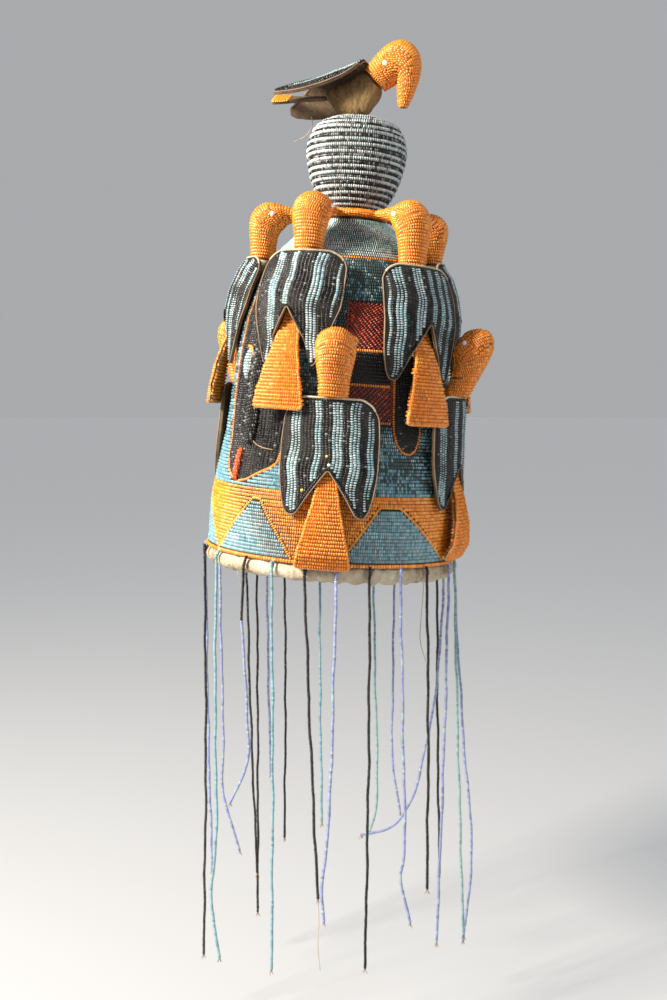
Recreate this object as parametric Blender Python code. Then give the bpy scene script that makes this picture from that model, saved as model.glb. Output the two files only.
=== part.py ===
"""A tall beaded crown: a hollow cone of beaded cloth on a padded rim roll, a banded knob, ten
stuffed birds and a veil of bead strings.

Metres, +Z up. The face on the front looks towards -Y. The origin is the middle of the rim roll's
opening, where a head goes in. The crown leans a little to one side, while its strings hang plumb.
"""

from math import cos, pi, radians, sin

import bmesh
import bpy
from mathutils import Matrix, Vector

for old in list(bpy.data.objects):
    bpy.data.objects.remove(old, do_unlink=True)

# Clearance between neighbouring pieces
GAP = 0.0003

# The cone of beaded cloth
RIM_RADIUS = 0.115
CONE_HEIGHT = 0.312
CONE_WALL = 0.003
CONE_SEGMENTS = 32

# The padded roll under the cone's edge, with its middle plane at z = 0
ROLL_HALF_HEIGHT = 0.0078
ROLL_HALF_WIDTH = 0.0075
ROLL_INSET = 0.005
ROLL_SEGMENTS = 32
ROLL_SIDES = 8

# The knob on the cone's top and the ring round its foot
KNOB_RADIUS = 0.0475
KNOB_HEIGHT = 0.097
KNOB_SEGMENTS = 24
COLLAR_HALF_WIDTH = 0.005
COLLAR_HEIGHT = 0.007
COLLAR_SEGMENTS = 20

# The lean of the whole crown, towards the side at LEAN_TOWARDS degrees round from the front
LEAN_DEGREES = 3.8
LEAN_TOWARDS = 142.5

# Birds that hang round the cone. A shoulder share is a share of the cone's height
HEAD_RADIUS = 0.0178
NECK_CLEARANCE = 0.0006
BODY_HALF_WIDTH = 0.015
WING_LENGTH = 0.101
WING_HALF_WIDTH = 0.0425
WING_THICKNESS = 0.003
WING_FOLD_POWER = 1.4
LOBE_KEEPS = 0.35
BODY_UNDER_FOLD = 0.075
BODY_FOLD_POWER = 1.7
TAIL_HALF_WIDTH = 0.0235
TAIL_THICKNESS = 0.0035
TAIL_CLEARANCE = 0.001
BODY_BELOW_NOTCH = 0.002
BODY_CLEARANCE = 0.0008

UPPER_SHOULDER_SHARE = 0.867
UPPER_HEAD_HEIGHT = 0.0565
UPPER_HEAD_LEAN = 0.001
UPPER_WING_STANDOFF = 0.027
UPPER_NOTCH_SHARE = 0.49
UPPER_TAIL_DROP = 0.1389
UPPER_TAIL_LIFT = 0.0205
UPPER_TAIL_END_SHARE = 1.0

LOWER_SHOULDER_SHARE = 0.468
LOWER_HEAD_HEIGHT = 0.060
LOWER_HEAD_LEAN = 0.0235
LOWER_WING_STANDOFF = 0.0168
LOWER_NOTCH_SHARE = 0.6
LOWER_TAIL_DROP = 0.1447
LOWER_TAIL_LIFT = 0.0135
LOWER_TAIL_END_SHARE = 0.55
LOWER_BEAK_IN = 0.0245
LOWER_BEAK_SIDE = 0.018
LOWER_BEAK_UP = 0.0505

# The bird on the knob, measured from the front of its head to the end of its tail
TOP_BIRD_LENGTH = 0.141
TOP_BIRD_TOWARDS = 127.5
TOP_NEAR_DROOP = 29.0
TOP_FAR_DROOP = 48.0
TOP_FAR_SWEEP = 0.018
TOP_DROOP_EASE = 0.2
TOP_TAIL_HALF_WIDTH = 0.016
TOP_TAIL_DROOP = 32.0

# Raised parts of the face
FACE_TOWARDS = 5.0
EYE_OFFSET = 0.0178
MOUTH_OFFSET = -0.0095
NOSE_HALF_WIDTH = 0.0095
NOSE_RELIEF = 0.008
EYE_HALF_WIDTH = 0.0080
EYE_RELIEF = 0.0042
MOUTH_HALF_WIDTH = 0.0032
MOUTH_RELIEF = 0.004
NOSE_HEIGHTS = (0.098, 0.214)
EYE_HEIGHTS = (0.156, 0.183)
MOUTH_HEIGHTS = (0.0655, 0.0935)

# The veil: bead strings sewn into a narrow beaded edging outside the cone's lower edge
STRING_RADIUS = 0.0016
EDGING_THICKNESS = 0.0018
EDGING_ABOVE = 0.0035
EDGING_BELOW = 0.001
EDGING_STEP = 7.0
STRING_POINTS = 8

EDGE_Z = ROLL_HALF_HEIGHT + GAP
ROLL_RADIUS = RIM_RADIUS - ROLL_INSET
ROLL_OUTER = ROLL_RADIUS + ROLL_HALF_WIDTH
KNOB_Z = EDGE_Z + CONE_HEIGHT + GAP

# Cone outline: share of the height, share of the rim radius
CONE_OUTLINE = (
    (0.000, 1.000),
    (0.130, 1.000),
    (0.220, 0.970),
    (0.340, 0.915),
    (0.460, 0.890),
    (0.580, 0.860),
    (0.680, 0.825),
    (0.770, 0.760),
    (0.840, 0.680),
    (0.900, 0.560),
    (0.950, 0.420),
    (0.985, 0.300),
    (1.000, 0.255),
)
# Rows of that outline that the inner face keeps
INNER_ROWS = (0, 2, 4, 6, 7, 8, 9, 10)

# Knob outline: share of the height, share of the knob radius
KNOB_OUTLINE = (
    (0.000, 0.500),
    (0.080, 0.500),
    (0.200, 0.730),
    (0.385, 0.890),
    (0.630, 1.000),
    (0.700, 0.985),
    (0.810, 0.940),
    (0.910, 0.825),
    (0.980, 0.560),
)
KNOB_NECK_SHARE = KNOB_OUTLINE[0][1]

# Wing rows above the notch: share of the length down to the notch, outer edge as a share of the half width
WING_UPPER_ROWS = ((0.00, 0.60), (0.09, 0.82), (0.26, 0.96), (0.60, 1.00), (1.00, 1.00))
# Lobe rows below the notch: share of the rest, inner edge, outer edge
WING_LOBE_ROWS = ((0.25, 0.16, 0.98), (0.55, 0.36, 0.94), (0.85, 0.53, 0.87), (1.00, 0.62, 0.78))
# Distance of the wings from the cone: share of the wing length, share of the standoff
WING_STANDOFF_ROWS = ((0.00, 0.97), (0.25, 1.00), (0.50, 0.88), (0.75, 0.60), (1.00, 0.40))

# Body sections: share of the body length from the shoulders down, share of the half width
BODY_ROWS = ((0.00, 0.72), (0.12, 0.92), (0.40, 1.00), (0.70, 0.85), (0.92, 0.50), (1.00, 0.28))

# Tail rows: share of the length, share of the half width, share of the lift from the cone
TAIL_ROWS = ((0.00, 0.30, 0.38), (0.12, 0.33, 0.46), (0.35, 0.48, 0.78), (0.62, 0.72, 0.95), (0.85, 0.92, 1.00))

# Head sections: outer point (out, up), inner point (out, up), half width. Out and half width are
# shares of HEAD_RADIUS and up is a share of the head height; the neck comes first.
HEAD_ROWS = (
    ((0.66, 0.00), (-0.65, 0.00), 0.76),
    ((0.63, 0.22), (-0.62, 0.20), 0.68),
    ((0.78, 0.46), (-0.70, 0.40), 0.86),
    ((0.78, 0.80), (-0.81, 0.47), 1.00),
    ((0.06, 0.99), (-0.95, 0.52), 0.98),
    ((-0.67, 0.95), (-1.10, 0.60), 0.76),
)
# Beak sections: share of the way to the tip, half thickness as a share of HEAD_RADIUS
BEAK_ROWS = ((0.22, 0.36), (0.60, 0.22), (1.00, 0.10))

# The knob's bird, in shares of its length from the middle of the knob's top: upper point
# (forward, up), lower point (forward, up), half width
TOP_HEAD_ROWS = (
    ((0.018, 0.326), (0.166, 0.186), 0.104),
    ((0.080, 0.405), (0.212, 0.224), 0.106),
    ((0.138, 0.478), (0.238, 0.240), 0.120),
    ((0.255, 0.548), (0.245, 0.252), 0.132),
    ((0.362, 0.490), (0.249, 0.258), 0.120),
    ((0.402, 0.385), (0.251, 0.250), 0.098),
    ((0.388, 0.268), (0.255, 0.200), 0.070),
    ((0.352, 0.160), (0.262, 0.138), 0.050),
    ((0.318, 0.078), (0.276, 0.080), 0.023),
)
TOP_BODY_ROWS = (
    ((0.016, 0.3244), (0.164, 0.1842), 0.098),
    ((-0.060, 0.285), (0.085, 0.020), 0.110),
    ((-0.120, 0.245), (0.000, 0.003), 0.112),
    ((-0.190, 0.215), (-0.125, 0.012), 0.090),
    ((-0.250, 0.195), (-0.215, 0.110), 0.050),
)
# Where the wings' middle line starts and ends, and the tail's: (forward, up)
TOP_WING_LINE = ((0.018, 0.392), (-0.545, 0.200))
TOP_WING_SAG = 0.02
TOP_TAIL_LINE = ((-0.237, 0.140), (-0.592, 0.142))

# Ring birds: name, ring, angle from the front in degrees, how far the shoulders sit below the
# ring's, how much the neck is longer for it, how far the wings' edges fall back, as a share of the
# standoff, and how much the lobes narrow towards their tips
RING_BIRDS = (
    ("bird_upper_1", "upper", -46.0, 0.0, 0.0, 0.80, 0.20),
    ("bird_upper_2", "upper", 26.0, 0.0, 0.0, 0.50, 0.50),
    ("bird_upper_3", "upper", 91.0, 0.007, 0.006, 0.25, 0.00),
    ("bird_upper_4", "upper", 158.0, -0.006, -0.006, 0.80, 0.20),
    ("bird_upper_5", "upper", -117.0, 0.0, 0.0, 0.50, 0.30),
    ("bird_lower_1", "lower", -69.0, -0.005, 0.006, 0.30, 0.10),
    ("bird_lower_2", "lower", 49.0, 0.003, 0.002, 0.30, 0.00),
    ("bird_lower_3", "lower", 119.5, -0.005, 0.005, 0.30, 0.10),
    ("bird_lower_4", "lower", -155.0, 0.0, 0.0, 0.30, 0.10),
)

# The strings' routes, chosen by hand. Each group shares one piece of edging. A string has its angle
# from the front in degrees and then (drop below the cone's edge, sway to the side), in metres; the
# sway is along the direction that the crown leans in.
STRING_ROUTES = (
    (
        (-122.5, ((0.15, 0.0), (0.303, 0.002))),
        (-104.2, ((0.16, 0.001), (0.3145, 0.0))),
        (-94.5, ((0.12, 0.001), (0.246, 0.004))),
    ),
    (
        (-88.5, ((0.19, 0.001), (0.385, 0.001))),
        (-82.0, ((0.17, 0.004), (0.3415, 0.011))),
        (-61.2, ((0.12, 0.002), (0.2, 0.004), (0.238, 0.002), (0.265, 0.008), (0.305, 0.02))),
    ),
    (
        (-42.5, ((0.16, 0.002), (0.309, 0.006))),
        (-23.0, ((0.19, 0.001), (0.3715, -0.001))),
        (-6.1, ((0.128, -0.001), (0.25, 0.0), (0.308, -0.0045), (0.36, 0.003))),
    ),
    (
        (13.5, ((0.051, -0.001), (0.13, 0.003), (0.173, 0.004), (0.21, -0.0115))),
        (27.9, ((0.17, 0.001), (0.3486, 0.0))),
        (42.5, ((0.14, 0.0045), (0.284, 0.0112))),
    ),
    (
        (55.4, ((0.165, -0.004), (0.226, -0.007), (0.27, -0.012), (0.303, -0.0105))),
        (69.5, ((0.17, -0.001), (0.345, -0.004))),
        (83.9, ((0.15, 0.002), (0.245, 0.0035), (0.273, 0.0), (0.311, 0.008))),
    ),
    (
        (99.0, ((0.15, 0.001), (0.29, 0.0))),
        (118.1, ((0.17, -0.004), (0.352, -0.011))),
        (130.5, ((0.18, 0.003), (0.356, 0.008))),
    ),
    (
        (145.5, ((0.1, 0.004), (0.2027, 0.0105), (0.29, 0.017), (0.3756, 0.0086))),
        (161.5, ((0.134, -0.007), (0.231, -0.0255), (0.2646, -0.04), (0.28, -0.055), (0.286, -0.0815))),
        (168.5, ((0.16, 0.0), (0.33, 0.002))),
    ),
    (
        (198.5, ((0.12, -0.001), (0.2275, -0.002), (0.285, 0.006))),
        (210.2, ((0.15, 0.002), (0.27, 0.004), (0.309, -0.0036))),
    ),
)

ORANGE = (0.80, 0.27, 0.02)
BLUE = (0.35, 0.55, 0.62)
BLACK = (0.015, 0.013, 0.014)
RED = (0.65, 0.06, 0.03)
CREAM = (0.68, 0.57, 0.40)
PALE = (0.55, 0.62, 0.62)
LAVENDER = (0.40, 0.42, 0.72)


def material(name, colour, roughness):
    """A plain Principled finish, made once for each name."""
    made = bpy.data.materials.get(name)
    if made is None:
        made = bpy.data.materials.new(name)
        made.use_nodes = True
        shader = made.node_tree.nodes["Principled BSDF"]
        shader.inputs["Base Color"].default_value = (*colour, 1.0)
        shader.inputs["Roughness"].default_value = roughness
        shader.inputs["Metallic"].default_value = 0.0
    return made


BEADS_ORANGE = material("beads_orange", ORANGE, 0.3)
BEADS_BLUE = material("beads_blue", BLUE, 0.3)
BEADS_BLACK = material("beads_black", BLACK, 0.3)
BEADS_RED = material("beads_red", RED, 0.35)
BEADS_PALE = material("beads_pale", PALE, 0.3)
BEADS_LAVENDER = material("beads_lavender", LAVENDER, 0.3)
CLOTH_CREAM = material("cloth_cream", CREAM, 0.9)

LEAN_AXIS = Vector((0, 0, 1)).cross(Vector((sin(radians(LEAN_TOWARDS)), -cos(radians(LEAN_TOWARDS)), 0)))
LEAN = Matrix.Rotation(radians(LEAN_DEGREES), 4, LEAN_AXIS)
SWAY = Vector((sin(radians(LEAN_TOWARDS)), -cos(radians(LEAN_TOWARDS)), 0))


def empty(name, parent=None, turn=0.0, height=0.0):
    made = bpy.data.objects.new(name, None)
    bpy.context.scene.collection.objects.link(made)
    made.parent = parent
    made.rotation_euler = (0, 0, radians(turn))
    made.location = (0, 0, height)
    return made


def piece(name, mesh, finish, parent=None):
    """A finished object on its mesh, smooth except at hard edges."""
    mesh.materials.clear()
    mesh.materials.append(finish)
    mesh.shade_smooth()
    mesh.set_sharp_from_angle(angle=radians(50))
    made = bpy.data.objects.new(name, mesh)
    bpy.context.scene.collection.objects.link(made)
    made.parent = parent
    return made


def mesh_of(name, points, faces):
    """A mesh with its faces turned outwards when it is closed."""
    mesh = bpy.data.meshes.new(name)
    mesh.from_pydata(points, [], faces)
    work = bmesh.new()
    work.from_mesh(mesh)
    bmesh.ops.recalc_face_normals(work, faces=work.faces)
    work.to_mesh(mesh)
    work.free()
    return mesh


def turned(name, outline, segments, closed):
    """A solid of revolution. A radius of 0 is a pole; a closed outline is a ring."""
    points = []
    rings = []
    for radius, z in outline:
        first = len(points)
        count = segments if radius else 1
        for k in range(count):
            angle = 2 * pi * k / segments
            points.append((radius * sin(angle), -radius * cos(angle), z))
        rings.append([first + k % count for k in range(segments)])
    pairs = list(zip(rings, rings[1:]))
    if closed:
        pairs.append((rings[-1], rings[0]))
    faces = []
    for low, high in pairs:
        for k in range(segments):
            n = (k + 1) % segments
            corners = (low[k], low[n], high[n], high[k])
            face = tuple(dict.fromkeys(corners))
            if len(face) > 2:
                faces.append(face)
    return mesh_of(name, points, faces)


def lofted(name, sections):
    """A solid through closed sections with equal numbers of points, capped at both ends."""
    count = len(sections[0])
    points = [point for section in sections for point in section]
    faces = [tuple(range(count))]
    for row in range(len(sections) - 1):
        for k in range(count):
            a = row * count + k
            b = row * count + (k + 1) % count
            faces.append((a, b, b + count, a + count))
    faces.append(tuple(range(len(points) - count, len(points))))
    return mesh_of(name, points, faces)


def shared(rows, at, column=1):
    """The value of a table's column between its rows, straight from one row to the next."""
    if at <= rows[0][0]:
        return rows[0][column]
    for low, high in zip(rows, rows[1:]):
        if at <= high[0]:
            part = (at - low[0]) / (high[0] - low[0])
            return low[column] + part * (high[column] - low[column])
    return rows[-1][column]


def cone_radius(height):
    return RIM_RADIUS * shared(CONE_OUTLINE, height / CONE_HEIGHT)


def polar(radius, side, height):
    """A point at an arc length to the side of the front line, at a height above the cone's edge."""
    angle = side / radius
    return Vector((radius * sin(angle), -radius * cos(angle), EDGE_Z + height))


def ellipse(centre, first, second, count):
    """Points round an ellipse from its two half axes."""
    turns = [2 * pi * k / count for k in range(count)]
    return [centre + first * cos(a) + second * sin(a) for a in turns]


def make_cone(parent):
    outer = [(RIM_RADIUS * share, EDGE_Z + CONE_HEIGHT * rise) for rise, share in CONE_OUTLINE]
    top = EDGE_Z + CONE_HEIGHT
    inner = []
    for row in reversed(INNER_ROWS):
        radius, z = outer[row]
        inner.append((radius - CONE_WALL, z))
    outline = outer + [(0, top), (0, top - CONE_WALL), (outer[-2][0] - CONE_WALL, top - 2 * CONE_WALL)] + inner
    mesh = turned("beaded_cone", outline, CONE_SEGMENTS, closed=True)
    piece("beaded_cone", mesh, BEADS_BLUE, parent)


def make_roll(parent):
    outline = []
    for k in range(ROLL_SIDES):
        angle = 2 * pi * k / ROLL_SIDES
        radius = ROLL_RADIUS + ROLL_HALF_WIDTH * cos(angle)
        outline.append((radius, ROLL_HALF_HEIGHT * sin(angle)))
    piece("rim_roll", turned("rim_roll", outline, ROLL_SEGMENTS, closed=True), CLOTH_CREAM, parent)


def make_knob(parent):
    outline = [(0, KNOB_Z)]
    for rise, share in KNOB_OUTLINE:
        outline.append((KNOB_RADIUS * share, KNOB_Z + KNOB_HEIGHT * rise))
    outline.append((0, KNOB_Z + KNOB_HEIGHT))
    piece("knob", turned("knob", outline, KNOB_SEGMENTS, closed=False), BEADS_PALE, parent)


COLLAR_RADIUS = KNOB_RADIUS * KNOB_NECK_SHARE + 2 * GAP + COLLAR_HALF_WIDTH
COLLAR_OUTER = COLLAR_RADIUS + COLLAR_HALF_WIDTH


def make_collar(parent):
    sides = 6
    middle = KNOB_Z + COLLAR_HEIGHT / 2
    outline = []
    for k in range(sides):
        angle = 2 * pi * (k + 0.5) / sides
        radius = COLLAR_RADIUS + COLLAR_HALF_WIDTH * cos(angle) / cos(pi / sides)
        height = COLLAR_HEIGHT / 2 * sin(angle)
        outline.append((radius, middle + height))
    mesh = turned("top_collar", outline, COLLAR_SEGMENTS, closed=True)
    piece("top_collar", mesh, BEADS_ORANGE, parent)


def raised(name, side, heights, half_width, relief, rows, finish, parent):
    """A padded patch on the cone. rows: share of the height, of the half width, of the relief."""
    sections = []
    for at, wide, high in rows:
        height = heights[0] + at * (heights[1] - heights[0])
        floor = cone_radius(height) + 2 * GAP
        width = half_width * wide
        rise = relief * high
        across = ((-1.0, 0.0), (-0.68, 0.72), (0.0, 1.0), (0.68, 0.72), (1.0, 0.0), (0.0, 0.0))
        sections.append([polar(floor + rise * up, side + width * over, height) for over, up in across])
    piece(name, lofted(name, sections), finish, parent)


def make_face(crown):
    parent = empty("face", crown, turn=FACE_TOWARDS)
    nose = ((0.0, 0.55, 0.35), (0.06, 0.9, 0.85), (0.2, 1.0, 1.0), (0.6, 0.9, 0.9), (0.92, 0.8, 0.8), (1.0, 0.5, 0.3))
    almond = ((0.0, 0.15, 0.2), (0.2, 0.7, 0.75), (0.5, 1.0, 1.0), (0.8, 0.7, 0.75), (1.0, 0.15, 0.2))
    strip = ((0.0, 0.6, 0.4), (0.1, 1.0, 1.0), (0.9, 1.0, 1.0), (1.0, 0.6, 0.4))
    raised("nose_ridge", 0.0, NOSE_HEIGHTS, NOSE_HALF_WIDTH, NOSE_RELIEF, nose, BEADS_BLACK, parent)
    raised("eye_left", -EYE_OFFSET, EYE_HEIGHTS, EYE_HALF_WIDTH, EYE_RELIEF, almond, BEADS_BLUE, parent)
    raised("eye_right", EYE_OFFSET, EYE_HEIGHTS, EYE_HALF_WIDTH, EYE_RELIEF, almond, BEADS_BLUE, parent)
    raised("mouth", MOUTH_OFFSET, MOUTH_HEIGHTS, MOUTH_HALF_WIDTH, MOUTH_RELIEF, strip, BEADS_RED, parent)


def wing_rows(notch):
    """Shares of the wing length at which the panel has rows: above the notch, below it."""
    above = [at * notch for at, outer in WING_UPPER_ROWS]
    below = [notch + at * (1 - notch) for at, inner, outer in WING_LOBE_ROWS]
    return above, below


class Ring:
    """The sizes of one bird of a ring and the surfaces that its pieces share."""

    def __init__(self, share, head, lean, standoff, notch, drop, lift, end, below, longer, fold, taper):
        self.shoulder = CONE_HEIGHT * share - below
        self.neck = cone_radius(self.shoulder) - HEAD_ROWS[0][1][0] * HEAD_RADIUS + NECK_CLEARANCE
        self.head = head + longer
        self.lean = lean - below / 2
        self.fold = fold
        self.taper = taper
        self.standoff = standoff
        self.notch = notch
        self.foot = self.shoulder - drop
        self.lift = lift
        self.end = end
        self.body_foot = self.shoulder - notch * WING_LENGTH - BODY_BELOW_NOTCH

    def wing_standoff(self, down):
        return self.standoff * shared(WING_STANDOFF_ROWS, down / WING_LENGTH)

    def wing_radius(self, down):
        """Middle of the wings' thickness on their centre line, at a length below the shoulders."""
        return cone_radius(self.shoulder - down) + self.wing_standoff(down)

    def narrowed(self, down, side):
        """A lobe's share of the half width, drawn in towards its tip and most at its outer edge."""
        share = max(0.0, (down - self.notch) / (1 - self.notch))
        beyond = max(0.0, abs(side) - LOBE_KEEPS)
        drawn = abs(side) - self.taper * share * beyond
        return drawn if side > 0 else -drawn

    def under_wing(self, down):
        """Where a body may reach to, below the straight stretches between the wings' rows."""
        above, below = wing_rows(self.notch)
        table = [(at * WING_LENGTH, self.wing_radius(at * WING_LENGTH)) for at in above + below]
        folded = BODY_UNDER_FOLD * self.fold**BODY_FOLD_POWER * self.standoff
        return shared(table, down) - WING_THICKNESS / 2 - BODY_CLEARANCE - folded


def head_mesh(name, ring, tip):
    """Neck, head and beak in one. tip: (in from the neck, to the side, up)."""
    sections = []
    base = Vector((0, -ring.neck, EDGE_Z + ring.shoulder + GAP))
    for outer, inner, half in HEAD_ROWS:
        ends = []
        for out, up in (outer, inner):
            away = out * HEAD_RADIUS + ring.lean * up
            ends.append(base + Vector((0, -away, up * ring.head)))
        middle = (ends[0] + ends[1]) / 2
        sections.append(ellipse(middle, (ends[0] - ends[1]) / 2, Vector((half * HEAD_RADIUS, 0, 0)), 8))
    root = middle
    end = base + Vector((tip[1], tip[0], tip[2]))
    along = (end - root).normalized()
    across = Vector((1, 0, 0)) - along * along.x
    across.normalize()
    rise = across.cross(along)
    for share, thick in BEAK_ROWS:
        half = thick * HEAD_RADIUS
        sections.append(ellipse(root.lerp(end, share), rise * half, across * half, 8))
    return lofted(name, sections)


def body_mesh(name, ring):
    sections = []
    length = ring.shoulder - ring.body_foot
    bends = [(ring.shoulder - CONE_HEIGHT * rise) / length for rise, share in CONE_OUTLINE]
    rows = [at * ring.notch * WING_LENGTH / length for at, outer in WING_UPPER_ROWS] + [1.0]
    rows += [bend for bend in bends if 0 < bend < 1 and min(abs(bend - at) for at in rows) > 0.02]
    for at in sorted(rows):
        wide = shared(BODY_ROWS, at)
        down = at * length
        height = ring.shoulder - down
        inner = cone_radius(height) + GAP
        outer = ring.under_wing(down)
        middle = Vector((0, -(inner + outer) / 2, EDGE_Z + height))
        depth = Vector((0, (inner - outer) / 2, 0))
        sections.append(ellipse(middle, depth, Vector((BODY_HALF_WIDTH * wide, 0, 0)), 8))
    return lofted(name, sections)


def wing_grid(notch):
    """Rows of (length down, sides) above the notch, then below it for each lobe, as shares."""
    downs, lobe_downs = wing_rows(notch)
    above = []
    for down, (at, outer) in zip(downs, WING_UPPER_ROWS):
        above.append((down, [outer * k for k in (-1, -0.5, 0, 0.5, 1)]))
    below = []
    for down, (at, inner, outer) in zip(lobe_downs, WING_LOBE_ROWS):
        middle = (outer + inner) / 2
        below.append((down, [-outer, -middle, -inner, inner, middle, outer]))
    return above, below


def wing_mesh(name, notch, place):
    """The two-lobed panel as a single sheet. place(down, side) puts a share pair in space."""
    above, below = wing_grid(notch)
    points = []
    faces = []
    rows = []
    for down, sides in above + below:
        rows.append(range(len(points), len(points) + len(sides)))
        points.extend(place(down, side) for side in sides)
    for low, high in zip(rows[: len(above)], rows[1 : len(above)]):
        faces.extend((low[k], low[k + 1], high[k + 1], high[k]) for k in range(4))
    last = rows[len(above) - 1]
    before = (last[0], last[1], last[2], last[2], last[3], last[4])
    for row in rows[len(above) :]:
        for k in (0, 1, 3, 4):
            faces.append((before[k], before[k + 1], row[k + 1], row[k]))
        before = row
    mesh = bpy.data.meshes.new(name)
    mesh.from_pydata(points, [], faces)
    return mesh


def tail_mesh(name, place, end_share):
    """A fan as a single sheet. place(along, side, lift) puts shares in space."""
    points = []
    rows = TAIL_ROWS + ((1.0, 1.0, end_share),)
    for at, wide, lift in rows:
        points.extend(place(at, wide * k, lift) for k in (-1, 0, 1))
    faces = []
    for row in range(len(rows) - 1):
        for k in range(2):
            a = row * 3 + k
            faces.append((a, a + 1, a + 4, a + 3))
    mesh = bpy.data.meshes.new(name)
    mesh.from_pydata(points, [], faces)
    return mesh


def thick_sheet(name, mesh, thickness, finish, parent):
    made = piece(name, mesh, finish, parent)
    solid = made.modifiers.new("thickness", "SOLIDIFY")
    solid.thickness = thickness
    solid.offset = 0.0
    return made


RING_SIZES = {
    "upper": (
        UPPER_SHOULDER_SHARE,
        UPPER_HEAD_HEIGHT,
        UPPER_HEAD_LEAN,
        UPPER_WING_STANDOFF,
        UPPER_NOTCH_SHARE,
        UPPER_TAIL_DROP,
        UPPER_TAIL_LIFT,
        UPPER_TAIL_END_SHARE,
    ),
    "lower": (
        LOWER_SHOULDER_SHARE,
        LOWER_HEAD_HEIGHT,
        LOWER_HEAD_LEAN,
        LOWER_WING_STANDOFF,
        LOWER_NOTCH_SHARE,
        LOWER_TAIL_DROP,
        LOWER_TAIL_LIFT,
        LOWER_TAIL_END_SHARE,
    ),
}


def make_ring_bird(name, kind, ring, perch):
    """One bird on the cone. An upper bird's beak ends at the collar."""
    if kind == "upper":
        rise = KNOB_Z + COLLAR_HEIGHT / 2 - EDGE_Z - ring.shoulder
        tip = (ring.neck - COLLAR_OUTER - 2 * GAP, 0.0, rise)
    else:
        tip = (LOWER_BEAK_IN - LOWER_HEAD_LEAN, LOWER_BEAK_SIDE, LOWER_BEAK_UP)

    def wing_place(down, side):
        length = down * WING_LENGTH
        side = ring.narrowed(down, side)
        fall = ring.fold * abs(side) ** WING_FOLD_POWER
        radius = ring.wing_radius(length) - fall * ring.wing_standoff(length)
        return polar(radius, side * WING_HALF_WIDTH, ring.shoulder - length)

    def tail_place(at, side, lift):
        top = ring.body_foot - TAIL_CLEARANCE
        height = top + at * (ring.foot - top)
        radius = cone_radius(height) + ring.lift * lift
        return polar(radius, side * TAIL_HALF_WIDTH, height)

    wings = wing_mesh(name + "_wings", ring.notch, wing_place)
    tail = tail_mesh(name + "_tail", tail_place, ring.end)
    piece(name + "_head", head_mesh(name + "_head", ring, tip), BEADS_ORANGE, perch)
    piece(name + "_body", body_mesh(name + "_body", ring), CLOTH_CREAM, perch)
    thick_sheet(name + "_wings", wings, WING_THICKNESS, BEADS_BLUE, perch)
    thick_sheet(name + "_tail", tail, TAIL_THICKNESS, BEADS_ORANGE, perch)


def make_ring_birds(crown):
    for name, kind, angle, below, longer, fold, taper in RING_BIRDS:
        perch = empty(name, crown, turn=angle)
        ring = Ring(*RING_SIZES[kind], below, longer, fold, taper)
        make_ring_bird(name, kind, ring, perch)


def top_sections(rows):
    sections = []
    for upper, lower, half in rows:
        ends = [Vector((0, -forward, up)) * TOP_BIRD_LENGTH for forward, up in (upper, lower)]
        across = Vector((half * TOP_BIRD_LENGTH, 0, 0))
        sections.append(ellipse((ends[0] + ends[1]) / 2, (ends[0] - ends[1]) / 2, across, 8))
    return sections


def along_line(line, at):
    (start_forward, start_up), (end_forward, end_up) = line
    forward = start_forward + at * (end_forward - start_forward)
    up = start_up + at * (end_up - start_up)
    return forward * TOP_BIRD_LENGTH, up * TOP_BIRD_LENGTH


def make_top_bird(crown):
    """The bird stands on the knob and has its wings spread over its back."""
    perch = empty("bird_top", crown, turn=TOP_BIRD_TOWARDS, height=KNOB_Z + KNOB_HEIGHT)

    def wing_place(down, side):
        forward, up = along_line(TOP_WING_LINE, down)
        droop = radians(TOP_FAR_DROOP if side > 0 else TOP_NEAR_DROOP) * (1 - TOP_DROOP_EASE * down)
        reach = abs(side) * WING_HALF_WIDTH
        sag = TOP_WING_SAG * TOP_BIRD_LENGTH * sin(pi * down)
        if side > 0:
            forward += TOP_FAR_SWEEP * side * (1 - down)
        drop = reach * sin(droop * abs(side) ** 0.5)
        over = reach * cos(droop * abs(side) ** 0.5)
        return Vector((over if side > 0 else -over, -forward, up - drop - sag))

    def tail_place(at, side, lift):
        forward, up = along_line(TOP_TAIL_LINE, at)
        turn = radians(TOP_TAIL_DROOP)
        reach = side * TOP_TAIL_HALF_WIDTH
        return Vector((reach * cos(turn), -forward, up + min(reach, 0.0) * sin(turn)))

    piece("bird_top_head", lofted("bird_top_head", top_sections(TOP_HEAD_ROWS)), BEADS_ORANGE, perch)
    piece("bird_top_body", lofted("bird_top_body", top_sections(TOP_BODY_ROWS)), CLOTH_CREAM, perch)
    wings = wing_mesh("bird_top_wings", LOWER_NOTCH_SHARE, wing_place)
    thick_sheet("bird_top_wings", wings, WING_THICKNESS, BEADS_BLUE, perch)
    tail = tail_mesh("bird_top_tail", tail_place, 1.0)
    thick_sheet("bird_top_tail", tail, TAIL_THICKNESS, BEADS_ORANGE, perch)


def ring_point(radius, angle, z):
    """A point of the leaning crown in the world's axes, at an angle from the front in degrees."""
    turn = radians(angle)
    return LEAN @ Vector((radius * sin(turn), -radius * cos(turn), z))


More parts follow.
